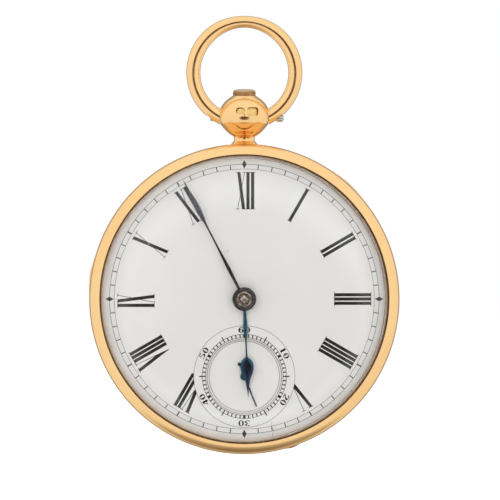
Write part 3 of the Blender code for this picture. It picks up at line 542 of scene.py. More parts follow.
def case_pieces():
    wall = through([(BAND_R, BAND_FRONT), (BAND_R + 0.05, (BAND_FRONT + BAND_BACK) / 2), (BAND_R, BAND_BACK)], 5)
    band = lathe(eased([(BORE_R, 2.6), (SNAP_R, 2.6), (SNAP_R, BAND_FRONT)] + wall
                       + [(23.1, BAND_BACK), (23.0, -5.4), (22.45, -5.4), (22.45, -4.85), (LEDGE_R, -4.85),
                          (LEDGE_R, -1.15), (BORE_R, -1.15)]))
    back_turn = -BACK_HINGE[0]
    cut(band, rod(0.5, (0, 19, BOW_Z), (0, 26, BOW_Z)), block((-1.2, 21.9, -7), (1.2, 26, BAND_BACK + 0.01), back_turn))

    roll = through([(LIP_R + 0.06, 4.16), (22.6, 4.08), (22.95, 3.93), (23.35, 3.66), (23.7, 3.25), (23.92, 2.75),
                    (CASE_R, 2.3), (CASE_R, 1.75)], 5)
    ring = lathe(eased([(LIP_R, 4.0)] + roll + [(22.75, 1.75), (22.75, 2.75), (22.45, 2.85), (22.45, 3.1),
                                                (23.0, 3.15), (23.0, 3.6), (LIP_R, 3.75)]))
    join(ring, thumb_lip(23.5, -75, -69, 1.85, 2.25))

    inside = through([(0, -7.0), (9, -7.0), (16.5, -6.8), (21, -6.4), (22.9, -5.8), (23.3, BAND_BACK - 0.1)], 5)
    outside = through([(CASE_R, BAND_BACK - 0.1), (23.93, -5.3), (23.3, -6.2), (21.5, -6.85), (17, -7.3),
                       (9, BACK_Z), (0, BACK_Z)], 5)
    back = lathe(eased(inside + outside, 0.05, closed=False, corner=50))
    join(back, thumb_lip(23.6, 207, 213, -5.35, -4.95))

    upper = through([(0, -6.1), (10, -6.02), (17, -5.75), (21.1, -5.42)], 6)
    lower = through([(22.25, -5.35), (21.2, -5.6), (17, -6.15), (10, -6.42), (0, -6.5)], 5)
    dome = lathe(eased(upper + [(21.3, -4.95), (22.25, -4.95)] + lower, 0.05, closed=False, corner=30))
    join(dome, block((-0.9, 21.7, -5.32), (0.9, 23.5, -5.0), back_turn))
    rim = lathe(eased([(1.7, -6.2), (2.15, -6.2), (2.15, -6.56), (1.7, -6.62)], 0.05), 64, (*BARREL, 0))
    join(dome, rim)
    cut(dome, rod(1.7, (*BARREL, -4), (*BARREL, -9), 64))

    hinged({"band": band, "bezel": ring}, FRONT_HINGE, FRONT_CROWN, FRONT_PIN,
           [("band", -KNUCKLE_END, -1.3), ("bezel", -1.2, 1.2), ("band", 1.3, KNUCKLE_END)])
    hinged({"band": band, "back": back, "cuvette": dome}, BACK_HINGE, BACK_CROWN, BACK_PIN,
           [("band", -KNUCKLE_END, -2.3), ("back", -2.2, -1.1), ("cuvette", -1.0, 1.0), ("back", 1.1, 2.2),
            ("band", 2.3, KNUCKLE_END)])
    for node, obj in (("case_band", band), ("bezel", ring), ("back_cover", back), ("cuvette", dome)):
        stand_in(node, obj, sharp=30)
    for node, hinge, half in (("front_hinge_pin", FRONT_HINGE, FRONT_PIN), ("back_hinge_pin", BACK_HINGE, BACK_PIN)):
        stand_in(node, rod(PIN_R, hinge_point(hinge, -half), hinge_point(hinge, half), 24, 0.06))

    over = through([(0, 6.0), (5, 5.97), (10, 5.87), (16, 5.42), (19.5, 4.8), (22.1, 3.64)], 5)
    under = through([(21.9, 3.2), (19.5, 4.1), (16, 4.72), (10, 5.17), (5, 5.27), (0, 5.3)], 5)
    stand_in("crystal", lathe(over + [(22.9, 3.5), (22.9, 3.22)] + under), sharp=50)


def glass_lines():
    """Painted shade where the bezel's lip meets the crystal, and a painted reflection of the bezel's inner wall in the
    crystal's edge, both heavier toward the right."""
    turns = [3 * i for i in range(121)]
    weight = [max(0.0, math.cos(math.radians(a - 82))) ** 0.6 for a in turns]
    for name, outer, inner, look, level, slot in (
            ("bezel_seat_painted_shade", (22.33, 0.06), (22.25, -0.12), SEAT_PAINTED_SHADE, 4.15, "gold"),
            ("crystal_edge_painted_reflection", (21.76, 0.055), (21.75, -0.055), GLASS_PAINTED_REFLECTION, 3.83, "crystal_glass")):
        sheet = band_sheet(*([polar(radius + gain * w, 90 - a) for a, w in zip(turns, weight)]
                             for radius, gain in (outer, inner)), closed=False)
        draped(name, [sheet], look, lambda x, y, flat_at=level: flat_at, "bezel")


# ---------------------------------------------------------------- pendant, bow, push piece

UPRIGHT = Matrix.Rotation(math.radians(-90), 3, "X")
STAMP_DEPTH, STRIKE = 0.34, 0.06


def ball_profile(shrink=0.0):
    return [(r - shrink, y) for r, y in through(BALL_SIDE, 5)]


def ball_core(shrink):
    return lathe([(0, 31.43)] + ball_profile(shrink) + [(0, 26.0)], 96, (0, 0, BOW_Z), UPRIGHT)


def stamp(centre, width, height, radius):
    """A blank stamped field on the front of the ball: a rounded outline sunk evenly below the surface."""
    corners = [(width / 2 - radius, height / 2 - radius, 0), (radius - width / 2, height / 2 - radius, 90),
               (radius - width / 2, radius - height / 2, 180), (width / 2 - radius, radius - height / 2, 270)]
    outline = [p for x, y, start in corners for p in arc(radius, start, start + 90, 6, (centre[0] + x, centre[1] + y))]
    return flat(0.5, 3.0, outline)


def pendant_pieces():
    neck = through([ball_profile()[-1], (2.3, 25.55), (2.04, 25.38), (1.82, 25.26)], 3)[1:] + through(
        [(1.69, 25.18), (1.63, 24.95), (1.61, 24.75), (1.68, 24.5), (1.84, 24.29), (2.02, 24.1), (2.2, 23.9)], 4)
    inside = [(0.5, 23.6), (0.5, 26.35), (1.4, 26.35), (1.4, 29.5), (1.82, 29.5)]
    outside = [(1.82, 31.5), (1.95, 31.5)] + ball_profile() + neck
    ball = lathe(eased(outside + inside, 0.05, corner=26), 96, (0, 0, BOW_Z), UPRIGHT)
    for side in (-1, 1):
        low, high = sorted((side * BOW_SEAT, side * 6.0))
        cut(ball, block((low, 26, BOW_Z - 3), (high, 31, BOW_Z + 3)))
    fields = (((-0.61, 29.1), 1.38, 1.03, 0.48), ((1.31, 28.98), 1.67, 1.35, 0.36))
    for place, (centre, width, height, corner) in enumerate(fields):
        mark = stamp(centre, width, height, corner)
        cut(mark, ball_core(STAMP_DEPTH))
        cut(ball, mark)
        struck = stamp(centre, width - 0.02, height - 0.02, corner)
        combine(struck, "INTERSECT", [ball_core(STAMP_DEPTH - STRIKE)])
        cut(struck, ball_core(STAMP_DEPTH + 0.03))
        finish_piece(f"struck_field_{place + 1}", struck, STRUCK, "case")
    cut(ball, rod(0.12, (0.06, 25.03, -1), (0.06, 25.03, 1), 16), rod(0.1, (0.02, 28.5, 1.9), (0.02, 28.5, 3), 12))
    cut(ball, rod(0.55, (-7, BOW_PIVOT_Y, BOW_Z), (7, BOW_PIVOT_Y, BOW_Z)))
    stand_in("pendant", ball, sharp=30)

    first, steps, sides = 24, 96, 32
    bm = bmesh.new()
    rows = []
    for i in range(steps + 1):
        a = math.radians(first + (360 - 2 * first) * i / steps)
        middle = BOW_R - BOW_FLAT * max(0.0, math.cos(a)) ** 2
        worn = max(0.0, -math.cos(a)) ** 8
        section = circle(BOW_WIRE + (BOW_WORN - BOW_WIRE) * worn, sides)
        rows.append([bm.verts.new(((middle + u) * math.sin(a), -(middle + u) * math.cos(a), v)) for u, v in section])
    skin(bm, rows)
    bm.faces.new(rows[0])
    bm.faces.new(rows[-1])
    loop = from_bmesh(bm, (0, BOW_Y, BOW_Z))
    gap = BOW_SEAT + 0.05
    cut(loop, block((-gap, 25, BOW_Z - 2), (gap, 31, BOW_Z + 2)),
        rod(0.52, (-9, BOW_PIVOT_Y, BOW_Z), (9, BOW_PIVOT_Y, BOW_Z)),
        rod(0.66, (5.0, BOW_PIVOT_Y, BOW_Z), (9, BOW_PIVOT_Y, BOW_Z)))
    stand_in("bow", loop)

    profile = through([(0, 6.12), (0.3, 6.09), (0.5, 5.95), (0.6, 5.7)], 4) + [(0.6, 5.1), (0.45, 5.1), (0.45, -5.2)]
    profile += through([(0.4, -5.27), (0.25, -5.32), (0, -5.33)], 3)
    pin = lathe(profile, 40, (0, BOW_PIVOT_Y, BOW_Z), Matrix.Rotation(math.radians(90), 3, "Y"))
    cut(pin, block((5.85, BOW_PIVOT_Y - 1, BOW_Z - 0.09), (6.3, BOW_PIVOT_Y + 1, BOW_Z + 0.09)))
    stand_in("bow_screw", pin)

    top = through([(0, 32.57), (0.8, 32.56), (1.3, 32.5), (1.62, 32.36), (1.76, 32.12)], 4)
    button = lathe(eased(top + [(1.76, 30.4), (1.3, 30.4), (1.3, 27.2), (0.4, 27.2), (0.4, 21.15), (0, 21.15)],
                         0.05, closed=False, corner=28), 96, (0, 0, BOW_Z), UPRIGHT)
    cut(button, block((-3, BOW_PIVOT_Y - 0.57, BOW_Z - 0.57), (3, BOW_PIVOT_Y + 1.37, BOW_Z + 0.57)))
    stand_in("push_piece", button, PUSH_LOOK, sharp=30)


# ---------------------------------------------------------------- dial

DIAL_TOP = through([(1.4, 2.3), (8, 2.26), (14, 2.2), (18, 2.12), (20.9, 2.02), (21.6, 1.92), (21.95, 1.72),
                    (DIAL_R, 1.45)], 4)
PRINT_LIFT, PRINT_ROOT = 0.014, 0.02
SUNK_TOP = 1.84
NUMERAL_R, NUMERAL_HALF = 16.7, 2.8
THICK, THIN = 0.49, 0.085        # widths of a numeral's strokes and hairlines
SECONDS_RING_R, SECONDS_NUMBER_R = 7.81, 7.19
INK_SPREAD = 1.3                # what every drawn stroke gains in width
DIAL_FEET = [polar(17.0, a) for a in (75, 190, -40)]


def dial_level(x, y):
    """Height of the main dial's face at a bench point."""
    r = math.hypot(x, y)
    for (r0, z0), (r1, z1) in zip(DIAL_TOP, DIAL_TOP[1:]):
        if r <= r1:
            return z0 + (z1 - z0) * (r - r0) / (r1 - r0)
    return DIAL_TOP[-1][1]


def draped(name, sheets, look, level=dial_level, body="case"):
    """Print on the dial: each sheet is (points, faces) in plan, laid on the face as a thin closed layer."""
    bm = bmesh.new()
    for points, faces in sheets:
        top = [bm.verts.new((x, y, level(x, y) + PRINT_LIFT)) for x, y in points]
        low = [bm.verts.new((x, y, level(x, y) - PRINT_ROOT)) for x, y in points]
        sides = {}
        for face in faces:
            bm.faces.new([top[i] for i in face])
            bm.faces.new([low[i] for i in reversed(face)])
            for a, b in zip(face, (*face[1:], face[0])):
                sides[frozenset((a, b))] = None if frozenset((a, b)) in sides else (a, b)
        for edge in filter(None, sides.values()):
            a, b = edge
            bm.faces.new((top[a], low[a], low[b], top[b]))
    return finish_piece(name, from_bmesh(bm), look, body)


def filled(points):
    """A sheet from one outline."""
    triangles = geometry.tessellate_polygon([[Vector((x, y, 0)) for x, y in points]])
    return points, [tuple(t) for t in triangles]


def band_sheet(outer, inner, closed=True):
    """A sheet between two rows of as many points."""
    count = len(outer)
    faces = [(i, (i + 1) % count, count + (i + 1) % count, count + i) for i in range(count if closed else count - 1)]
    return outer + inner, faces


def ring_sheet(radius, width, centre=(0.0, 0.0)):
    return band_sheet(circle(radius + width / 2, 240, centre), circle(radius - width / 2, 240, centre))


def clock_point(clock, u, v, centre=(0.0, 0.0)):
    """A point by clock angle in degrees, clockwise offset u and radius v."""
    a = math.radians(clock)
    return (centre[0] + math.sin(a) * v + math.cos(a) * u, centre[1] + math.cos(a) * v - math.sin(a) * u)


def tick_sheet(clock, inner, outer, width, centre=(0.0, 0.0)):
    half = width / 2
    corners = ((-half, inner), (half, inner), (half, outer), (-half, outer))
    return filled([clock_point(clock, u, v, centre) for u, v in corners])


def outside_circle(points, centre, radius):
    """An outline with the part inside a circle taken off."""
    dense = []
    for a, b in zip(points, points[1:] + points[:1]):
        dense += [tuple(Vector(a).lerp(Vector(b), k / 80)) for k in range(80)]
    kept = [p for p in dense if math.dist(p, centre) >= radius]
    if len(kept) == len(dense):
        return points
    return [p for i, p in enumerate(kept) if i % 4 == 0 or math.dist(p, centre) < radius + 0.1]


def numeral(strokes, vees=()):
    """Outlines of a Roman numeral: strokes as (foot, top, width) and vees as (left top, right top, base)."""
    h = NUMERAL_HALF
    shapes = [[(foot - w / 2, -h), (foot + w / 2, -h), (top + w / 2, h), (top - w / 2, h)] for foot, top, w in strokes]
    for left, right, base in vees:
        fall_left, fall_right = (base - left + THICK / 2) / (2 * h), (right - base) / (2 * h)
        down = (right - left - THICK / 2) / (fall_left + fall_right)
        meet = (left + THICK / 2 + fall_left * down, h - down)
        foot = [(base + THIN / 2, -h), (base - THIN / 2, -h)]
        shapes.append([(left - THICK / 2, h), (left + THICK / 2, h), meet, *foot])
        shapes.append([(right - THIN / 2, h), (right + THIN / 2, h), *foot])
    return shapes


def serifs(*spans):
    """Hairlines across stroke ends, as (start, end, at the top)."""
    rows = []
    for start, end, top in spans:
        v = NUMERAL_HALF if top else -NUMERAL_HALF
        rows.append([(start, v - THIN / 2), (end, v - THIN / 2), (end, v + THIN / 2), (start, v + THIN / 2)])
    return rows


def both(start, end):
    return (start, end, True), (start, end, False)


def bars(*places):
    return [(u, u, THICK) for u in places]


def ex(centre):
    return [(centre + 0.36, centre - 0.36, THICK), (centre - 0.55, centre + 0.52, THIN)]


def roman_numerals():
    ex_serifs = [(-0.75, -0.1, True), (0.25, 0.8, True), (-0.85, -0.25, False), (0.1, 0.72, False)]
    shapes = {
        1: numeral(bars(0)) + serifs(*both(-0.42, 0.42)),
        2: numeral(bars(-0.35, 0.35)) + serifs(*both(-0.76, 0.76)),
        3: numeral(bars(-0.66, 0, 0.66)) + serifs(*both(-1.1, 1.1)),
        4: numeral(bars(-0.96, -0.32, 0.32, 0.96)) + serifs(*both(-1.38, 1.38)),
        5: numeral([], [(-0.62, 0.64, 0.06)]) + serifs((-1.02, -0.2, True), (0.38, 0.9, True)),
        7: numeral(bars(0.4, 1.05), [(-1.1, -0.15, -0.55)]) + serifs((-1.5, -0.7, True), (-0.35, 1.45, True)),
        8: numeral(bars(0.12, 0.76, 1.4), [(-1.45, -0.45, -0.88)])
        + serifs((-1.85, -1.05, True), (-0.68, 1.8, True), (-0.2, 1.8, False)),
        9: numeral(bars(-0.98) + ex(0.06))
        + serifs((-1.38, -0.05, True), (0.35, 0.86, True), (-1.38, -0.22, False), (0.1, 0.8, False)),
        10: numeral(ex(0)) + serifs(*ex_serifs),
        11: numeral(ex(-0.5) + bars(0.62))
        + serifs((-1.25, -0.6, True), (-0.25, 1.05, True), (-1.35, -0.75, False), (-0.4, 1.05, False)),
        12: numeral(ex(-0.48) + bars(0.57, 1.28))
        + serifs((-1.25, -0.6, True), (-0.25, 1.7, True), (-1.35, -0.75, False), (-0.35, 1.7, False)),
    }
    sheets = []
    for hour, outlines in shapes.items():
        for outline in outlines:
            placed = [clock_point(30 * hour, u, NUMERAL_R + v) for u, v in outline]
            if hour in (5, 7):
                placed = outside_circle(placed, FOURTH, SECONDS_RING_R)
            if len(placed) > 2:
                sheets.append(filled(placed))
    return sheets


def minute_track():
    sheets = [ring_sheet(19.99, 0.05), ring_sheet(20.72, 0.06)]
    for minute in range(60):
        if minute % 15:
            sheets.append(tick_sheet(6 * minute, 19.99, 20.72, 0.14 if minute % 5 else 0.2))
        else:
            diamond = [(0, 20.06), (0.36, 20.72), (0, 21.38), (-0.36, 20.72)]
            sheets.append(filled([clock_point(6 * minute, u, v) for u, v in diamond]))
    return sheets


def seconds_track():
    sheets = [ring_sheet(SECONDS_RING_R, 0.055, FOURTH), ring_sheet(5.99, 0.07, FOURTH), ring_sheet(6.5, 0.07, FOURTH)]
    for second in range(60):
        outer = 6.98 if second % 10 == 5 else 6.5
        width = 0.4 if second % 10 == 0 else 0.18
        sheets.append(tick_sheet(6 * second, 5.99, outer, width, FOURTH))
    return sheets


def ribbon(points, widths, per=5):
    """A stroke of changing width along a smooth line, as a sheet."""
    line = through([(x, y, w) for (x, y), w in zip(points, widths)], per)
    left, right = [], []
    for i, (x, y, w) in enumerate(line):
        before, after = line[max(i - 1, 0)], line[min(i + 1, len(line) - 1)]
        along = Vector((after[0] - before[0], after[1] - before[1])).normalized()
        half = w * INK_SPREAD / 2
        left.append((x - along.y * half, y + along.x * half))
        right.append((x + along.y * half, y - along.x * half))
    return band_sheet(left, right, closed=False)


def oval(cx, cy, a, b, side, cap):
    """A closed bowl, thick at its sides and thin at top and bottom."""
    outer = [(cx + a * x, cy + b * y) for x, y in circle(1, 28)]
    inner = [(cx + (a - 1.25 * side) * x, cy + (b - 1.5 * cap) * y) for x, y in circle(1, 28)]
    return band_sheet(outer, inner)


DIGITS = {
    "0": [oval(0.25, 0.5, 0.25, 0.5, 0.13, 0.05)],
    "1": [ribbon([(0.25, 0.02), (0.25, 0.98)], (0.15, 0.15), 1), ribbon([(0.08, 0.02), (0.42, 0.02)], (0.05, 0.05), 1),
          ribbon([(0.1, 0.86), (0.25, 0.96)], (0.05, 0.06), 1)],
    "2": [ribbon([(0.07, 0.72), (0.2, 0.96), (0.42, 0.8), (0.35, 0.5), (0.06, 0.05)], (0.14, 0.06, 0.14, 0.12, 0.05)),
          ribbon([(0.04, 0.05), (0.46, 0.05)], (0.11, 0.09), 1)],
    "3": [ribbon([(0.07, 0.82), (0.24, 0.97), (0.4, 0.76), (0.2, 0.54)], (0.12, 0.05, 0.13, 0.05)),
          ribbon([(0.2, 0.54), (0.44, 0.3), (0.24, 0.03), (0.05, 0.2)], (0.05, 0.14, 0.05, 0.12))],
    "4": [ribbon([(0.32, 0.98), (0.02, 0.3)], (0.05, 0.05), 1), ribbon([(0.02, 0.3), (0.48, 0.3)], (0.05, 0.05), 1),
          ribbon([(0.34, 0.02), (0.34, 0.98)], (0.14, 0.14), 1)],
    "5": [ribbon([(0.1, 0.94), (0.42, 0.94)], (0.1, 0.1), 1), ribbon([(0.1, 0.95), (0.08, 0.52)], (0.05, 0.05), 1),
          ribbon([(0.08, 0.52), (0.27, 0.62), (0.43, 0.32), (0.24, 0.03), (0.05, 0.16)],
                 (0.05, 0.05, 0.15, 0.05, 0.12))],
    "6": [ribbon([(0.4, 0.9), (0.24, 0.96), (0.09, 0.62), (0.08, 0.3)], (0.1, 0.05, 0.12, 0.13)),
          oval(0.25, 0.3, 0.23, 0.3, 0.12, 0.05)],
}


def seconds_numbers():
    height, stretch, pitch = 0.9, 1.7, 0.98
    sheets = []
    for clock, text in zip(range(0, 360, 60), ("60", "10", "20", "30", "40", "50")):
        for place, digit in enumerate(text):
            left = (place - 1) * pitch + (pitch - 0.5 * stretch) / 2
            for points, faces in DIGITS[digit]:
                placed = [clock_point(clock, left + stretch * x, SECONDS_NUMBER_R + (y - 0.5) * height, FOURTH)
                          for x, y in points]
                sheets.append((placed, faces))
    return sheets


def dial_pieces():
    plate = lathe(DIAL_TOP + [(DIAL_R, 1.25), (1.4, 1.25)], 240)
    mouth = lathe([(0, 3.2), (5.76, 3.2), (5.76, 2.3), (5.66, 2.1), (5.57, 1.9), (5.55, 0.5), (0, 0.5)], 144,
                  (*FOURTH, 0))
    cut(plate, mouth)
    join(plate, *(rod(0.3, (*foot, -0.85), (*foot, 1.5), 16) for foot in DIAL_FEET))
    stand_in("dial", plate, sharp=30)
    sunk = lathe(eased([(0.5, SUNK_TOP), (5.5, SUNK_TOP), (5.5, 1.3), (0.5, 1.3)], 0.04), 144, (*FOURTH, 0))
    stand_in("seconds_dial", sunk)
    draped("dial_numerals", roman_numerals(), PAINT)
    draped("dial_minute_track", minute_track(), PAINT)
    draped("dial_seconds_track", seconds_track(), PAINT)
    draped("dial_seconds_numbers", seconds_numbers(), PAINT)
    draped("dial_recess_edge", [ring_sheet(5.76, 0.09, FOURTH)], FIRED_EDGE)
    draped("seconds_dial_edge", [ring_sheet(5.43, 0.08, FOURTH)], FIRED_EDGE, lambda x, y: SUNK_TOP)
    step = lathe(through([(5.74, 2.21), (5.66, 2.08), (5.56, 1.96), (5.46, 1.88)], 4) + [(5.46, 1.7), (5.74, 1.7)], 144,
                 (*FOURTH, 0))
    finish_piece("seconds_dial_step", step, LOOKS["enamel"], "case")
    crack = [clock_point(clock, 0, radius) for clock, radius in (
        (167.2, 19.3), (167.9, 20.0), (167.4, 20.7), (168.3, 21.3), (167.9, 21.9))]
    draped("dial_hairline", [ribbon(crack, (0.02, 0.035, 0.03, 0.035, 0.02))], FIRED_EDGE)
    chip = [clock_point(300, -0.04 + 0.1 * x, NUMERAL_R + 0.35 + 0.07 * y) for x, y in circle(1, 12)]
    draped("dial_chip", [filled(chip)], LOOKS["enamel"], lambda x, y: dial_level(x, y) + 0.004)


# ---------------------------------------------------------------- hands

def blade(stations, base, edge, ridge, at=(0.0, 0.0), turn=0.0):
    """A hand's blade along +Y with a domed top, from (distance, half width) pairs."""
    bm = bmesh.new()
    rows = []
    for y, half in through(stations, 8):
        half = max(half, 0.0)
        if half < 0.004:
            rows.append([bm.verts.new((0, y, (base + edge) / 2))])
            continue
        domed = [(s, edge + (ridge - edge) * (1 - s * s)) for s in (-0.66, -0.33, 0, 0.33, 0.66)]
        section = [(-1, base), (-1, edge)] + domed + [(1, edge), (1, base)]
        rows.append([bm.verts.new((half * s, y, z)) for s, z in section])
    skin(bm, rows)
    for row in (rows[0], rows[-1]):
        if len(row) > 2:
            bm.faces.new(row)
    return from_bmesh(bm, (*at, 0), turn)


def hand_pieces():
    leaf = [(1.2, 0.2), (2.2, 0.205), (3.5, 0.235), (5.2, 0.275), (6.5, 0.23), (8.0, 0.17), (9.5, 0.135), (11.2, 0.13),
            (12.7, 0.145), (13.5, 0.21), (14.3, 0.32), (15.3, 0.42), (16.2, 0.42), (17.4, 0.33), (18.6, 0.2),
            (19.5, 0.12), (20.1, 0.075), (20.5, 0.02)]
    minute = lathe(eased([(0.9, 3.4), (1.49, 3.4), (1.5, 3.72), (1.6, 3.78), (1.74, 3.72), (1.84, 3.5),
                          (1.84, MINUTE_LEVEL), (0.9, MINUTE_LEVEL)], 0.03, corner=20), 96, turn=MINUTE_AT)
    join(minute, blade(leaf, MINUTE_LEVEL, MINUTE_LEVEL + 0.06, MINUTE_LEVEL + 0.2, turn=MINUTE_AT))
    stand_in("minute_hand", minute, MINUTE_LOOK)
    collar = lathe(eased([(0.8, 3.3), (0.8, 3.56), (0.9, 3.58), (1.0, 3.5), (1.14, 3.45), (1.26, 3.52), (1.36, 3.66),
                          (1.42, 3.75), (1.47, 3.75), (1.49, 3.6), (1.49, 3.35), (1.0, 3.3)], 0.03, corner=20), 96)
    finish_piece("minute_boss", collar, BOSS_LOOK, frame["nodes"]["minute_hand"]["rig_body"])
    spade = [(1.4, 0.22), (2.5, 0.25), (3.6, 0.29), (4.5, 0.345), (5.0, 0.32), (5.5, 0.24), (6.2, 0.145), (7.5, 0.12),
             (8.8, 0.14), (9.05, 0.3), (9.45, 0.72), (9.9, 0.94), (10.4, 1.035), (10.9, 1.0), (11.4, 0.86),
             (12.0, 0.58), (12.6, 0.37), (13.5, 0.2), (14.4, 0.09), (15.3, 0.02)]
    collet_top = HOUR_LEVEL + 0.3
    collet = [(1.22, collet_top), (1.7, collet_top), (1.7, HOUR_LEVEL), (1.22, HOUR_LEVEL)]
    hour = lathe(eased(collet, 0.05), 80, turn=HOUR_AT)
    join(hour, blade(spade, HOUR_LEVEL + 0.02, HOUR_LEVEL + 0.07, HOUR_LEVEL + 0.2, turn=HOUR_AT))
    stand_in("hour_hand", hour)
    needle = [(0.4, 0.16), (1.5, 0.13), (3, 0.105), (4.4, 0.09), (4.95, 0.08), (5.05, 0.03)]
    tail = [(0.4, 0.13), (1.2, 0.09), (1.75, 0.075)]
    disc = [(0, 2.1), (0.2, 2.1), (0.28, 2.04), (0.28, SECONDS_LEVEL), (0, SECONDS_LEVEL)]
    seconds = lathe(eased([(0.26, 2.2), (0.45, 2.2), (0.65, 2.1), (0.65, 1.9), (0.26, 1.9)], 0.04), 56, (*FOURTH, 0))
    join(seconds, blade(needle, SECONDS_LEVEL, 1.99, 2.1, FOURTH, SECONDS_AT),
         blade(tail, SECONDS_LEVEL, 1.99, 2.08, FOURTH, SECONDS_AT + 180),
         lathe(eased(disc, 0.02, closed=False), 32, (*clock_point(-SECONDS_AT + 180, 0, 2.02, FOURTH), 0)))
    cut(seconds, rod(0.26, (*FOURTH, 0), (*FOURTH, 4), 24))
    stand_in("seconds_hand", seconds)


# ---------------------------------------------------------------- movement

PILLARS = [polar(18.9, a) for a in (100, 20, -60, -118)]
CASE_SCREWS = [polar(19.6, a) for a in (60, -80)]
PLATE_BACK, TOP_FRONT, TOP_BACK = -1.0, -3.9, -4.9
RIM_SCREWS = 16


def heading(start, end):
    return math.degrees(math.atan2(end[1] - start[1], end[0] - start[0]))


def tapered_link(start, end, start_r, end_r):
    """The outline round two circles."""
    way = heading(start, end)
    return arc(start_r, way + 90, way + 270, 40, start) + arc(end_r, way - 90, way + 90, 40, end)


def crossings(hub, rim, arms, arm, turn):
    """The openings between a wheel's arms, hub and rim."""
    openings = []
    for i in range(arms):
        start, end = turn + 360 * i / arms, turn + 360 * (i + 1) / arms
        inner, outer = (math.degrees(math.asin(arm / 2 / r)) for r in (hub, rim))
        openings.append(arc(rim, start + outer, end - outer, 40) + arc(hub, end - inner, start + inner, 16))
    return openings


def screw_piece(node, at, top, head_r, head_depth, shank_r, length, turn):
    """A cheese-headed screw driven from the back, with a slot at some turn."""
    seat = top + head_depth
    profile = [(0, seat + length), (shank_r, seat + length), (shank_r, seat), (head_r, seat), (head_r, top + 0.07),
               (head_r - 0.07, top), (0, top - 0.01)]
    screw = lathe(eased(profile, 0.03, closed=False), 48, (*at, 0))
    slot = block((-2, -0.09, top - 0.5), (2, 0.09, top + 0.12), turn)
    slot.data.transform(Matrix.Translation((*at, 0)))
    stand_in(node, cut(screw, slot))


def jewel(name, at, level, radius):
    """A jewel with its oil sink, in a turned setting let into the plate's back."""
    setting = lathe(eased([(radius * 1.55, level + 0.03), (radius * 1.55, level - 0.05), (radius * 1.42, level - 0.08),
                           (radius * 1.02, level - 0.02), (radius * 1.02, level + 0.03)], 0.02), 56, (*at, 0))
    finish_piece(f"{name}_setting", setting, LOOKS["gilt_brass"], "case")
    stone = through([(radius, level + 0.02), (radius * 0.97, level - 0.025), (radius * 0.7, level - 0.04),
                     (radius * 0.4, level - 0.01), (0.16, level + 0.06), (0, level + 0.07)], 3)
    finish_piece(name, lathe(stone + [(0, level + 0.09), (radius, level + 0.06)], 48, (*at, 0)), RUBY, "case")


def plates():
    small = [(0.35, FOURTH), (0.3, BALANCE), (0.3, MINUTE_WORK), (0.45, COCK_FOOT), (0.4, PALLET_FOOT)]
    small += [(0.2, at) for at in (THIRD, ESCAPE, PALLET)] + [(0.4, foot) for foot in DIAL_FEET]
    holes = [circle(0.55), circle(0.6, 48, BARREL)] + [circle(r, 28, at) for r, at in small]
    stand_in("pillar_plate", chamfered(flat(PLATE_BACK, 0, circle(21.9, 240), holes), 0.07))
    outline = arc(20.2, -126, 150, 200) + [(-12.6, 4.6)] + arc(7.0, 65, -75, 90, BALANCE)
    holes = [circle(0.36, 32), circle(0.78, 48, BARREL)] + [circle(0.2, 24, at) for at in (THIRD, FOURTH, ESCAPE)]
    holes += [circle(0.36, 28, at) for at in [CLICK] + PILLARS + CASE_SCREWS]
    stand_in("three_quarter_plate", chamfered(flat(TOP_BACK, TOP_FRONT, outline, holes), 0.09))
    for name, at in (("third_jewel", THIRD), ("fourth_jewel", FOURTH), ("escape_jewel", ESCAPE)):
        jewel(name, at, TOP_BACK, 0.5)
    for i, at in enumerate(PILLARS, 1):
        waist = through([(0.8, -1.06), (0.62, -1.5), (0.56, -2.3), (0.6, -3.3), (0.8, -3.84)], 6)
        stand_in(f"pillar_{i}", lathe([(0, -1.06)] + waist + [(0.4, -3.84), (0.4, -2.8), (0, -2.8)], 40, (*at, 0)))
        screw_piece(f"plate_screw_{i}", at, -5.2, 0.8, 0.24, 0.3, 1.9, 37 * i)
    for i, at in enumerate(CASE_SCREWS, 1):
        screw_piece(f"case_screw_{i}", at, -5.25, 1.2, 0.28, 0.3, 0.9, 61 * i)
    spring = arc(20.2, 84, 128, 40) + arc(19.85, 128, 84, 40)
    stand_in("lock_spring", chamfered(flat(-2.6, -1.3, spring), 0.04))


def cock_pieces():
    table = flat(-4.9, -4.3, tapered_link(COCK_FOOT, BALANCE, 2.2, 1.5), [circle(0.3, 28, BALANCE)])
    join(chamfered(table, 0.08), rod(1.9, (*COCK_FOOT, -4.5), (*COCK_FOOT, -1.06), 64, 0.05))
    stand_in("balance_cock", cut(table, rod(0.45, (*COCK_FOOT, -6), (*COCK_FOOT, 0))))
    jewel("balance_cap_jewel", BALANCE, -4.9, 0.42)
    screw_piece("cock_screw", COCK_FOOT, -5.2, 0.9, 0.24, 0.35, 4.4, 20)
    bar = flat(-2.85, -2.45, tapered_link(PALLET_FOOT, PALLET, 1.0, 0.7), [circle(0.2, 24, PALLET)])
    join(chamfered(bar, 0.05), rod(0.9, (*PALLET_FOOT, -2.6), (*PALLET_FOOT, -1.06), 48))
    stand_in("pallet_cock", cut(bar, rod(0.4, (*PALLET_FOOT, -4), (*PALLET_FOOT, 0))))
    screw_piece("pallet_cock_screw", PALLET_FOOT, -3.1, 0.6, 0.2, 0.3, 2.3, 75)
    tail = heading(BALANCE, CENTRE) + 12
    outline = arc(1.3, tail + 20, tail + 340, 64) + [polar(2.2, tail - 6), polar(5.2, tail - 1.5), polar(5.6, tail),
                                                     polar(5.2, tail + 1.5), polar(2.2, tail + 6)]
    stand_in("regulator", chamfered(flat(-5.15, -4.95, outline, [circle(0.75, 48)], BALANCE), 0.03))


def saw_teeth(teeth, root, tip):
    return [p for i in range(teeth)
            for p in (polar(root, 360 * i / teeth), polar(tip, 360 * i / teeth + 300 / teeth),
                      polar(tip, 360 * i / teeth + 312 / teeth))]


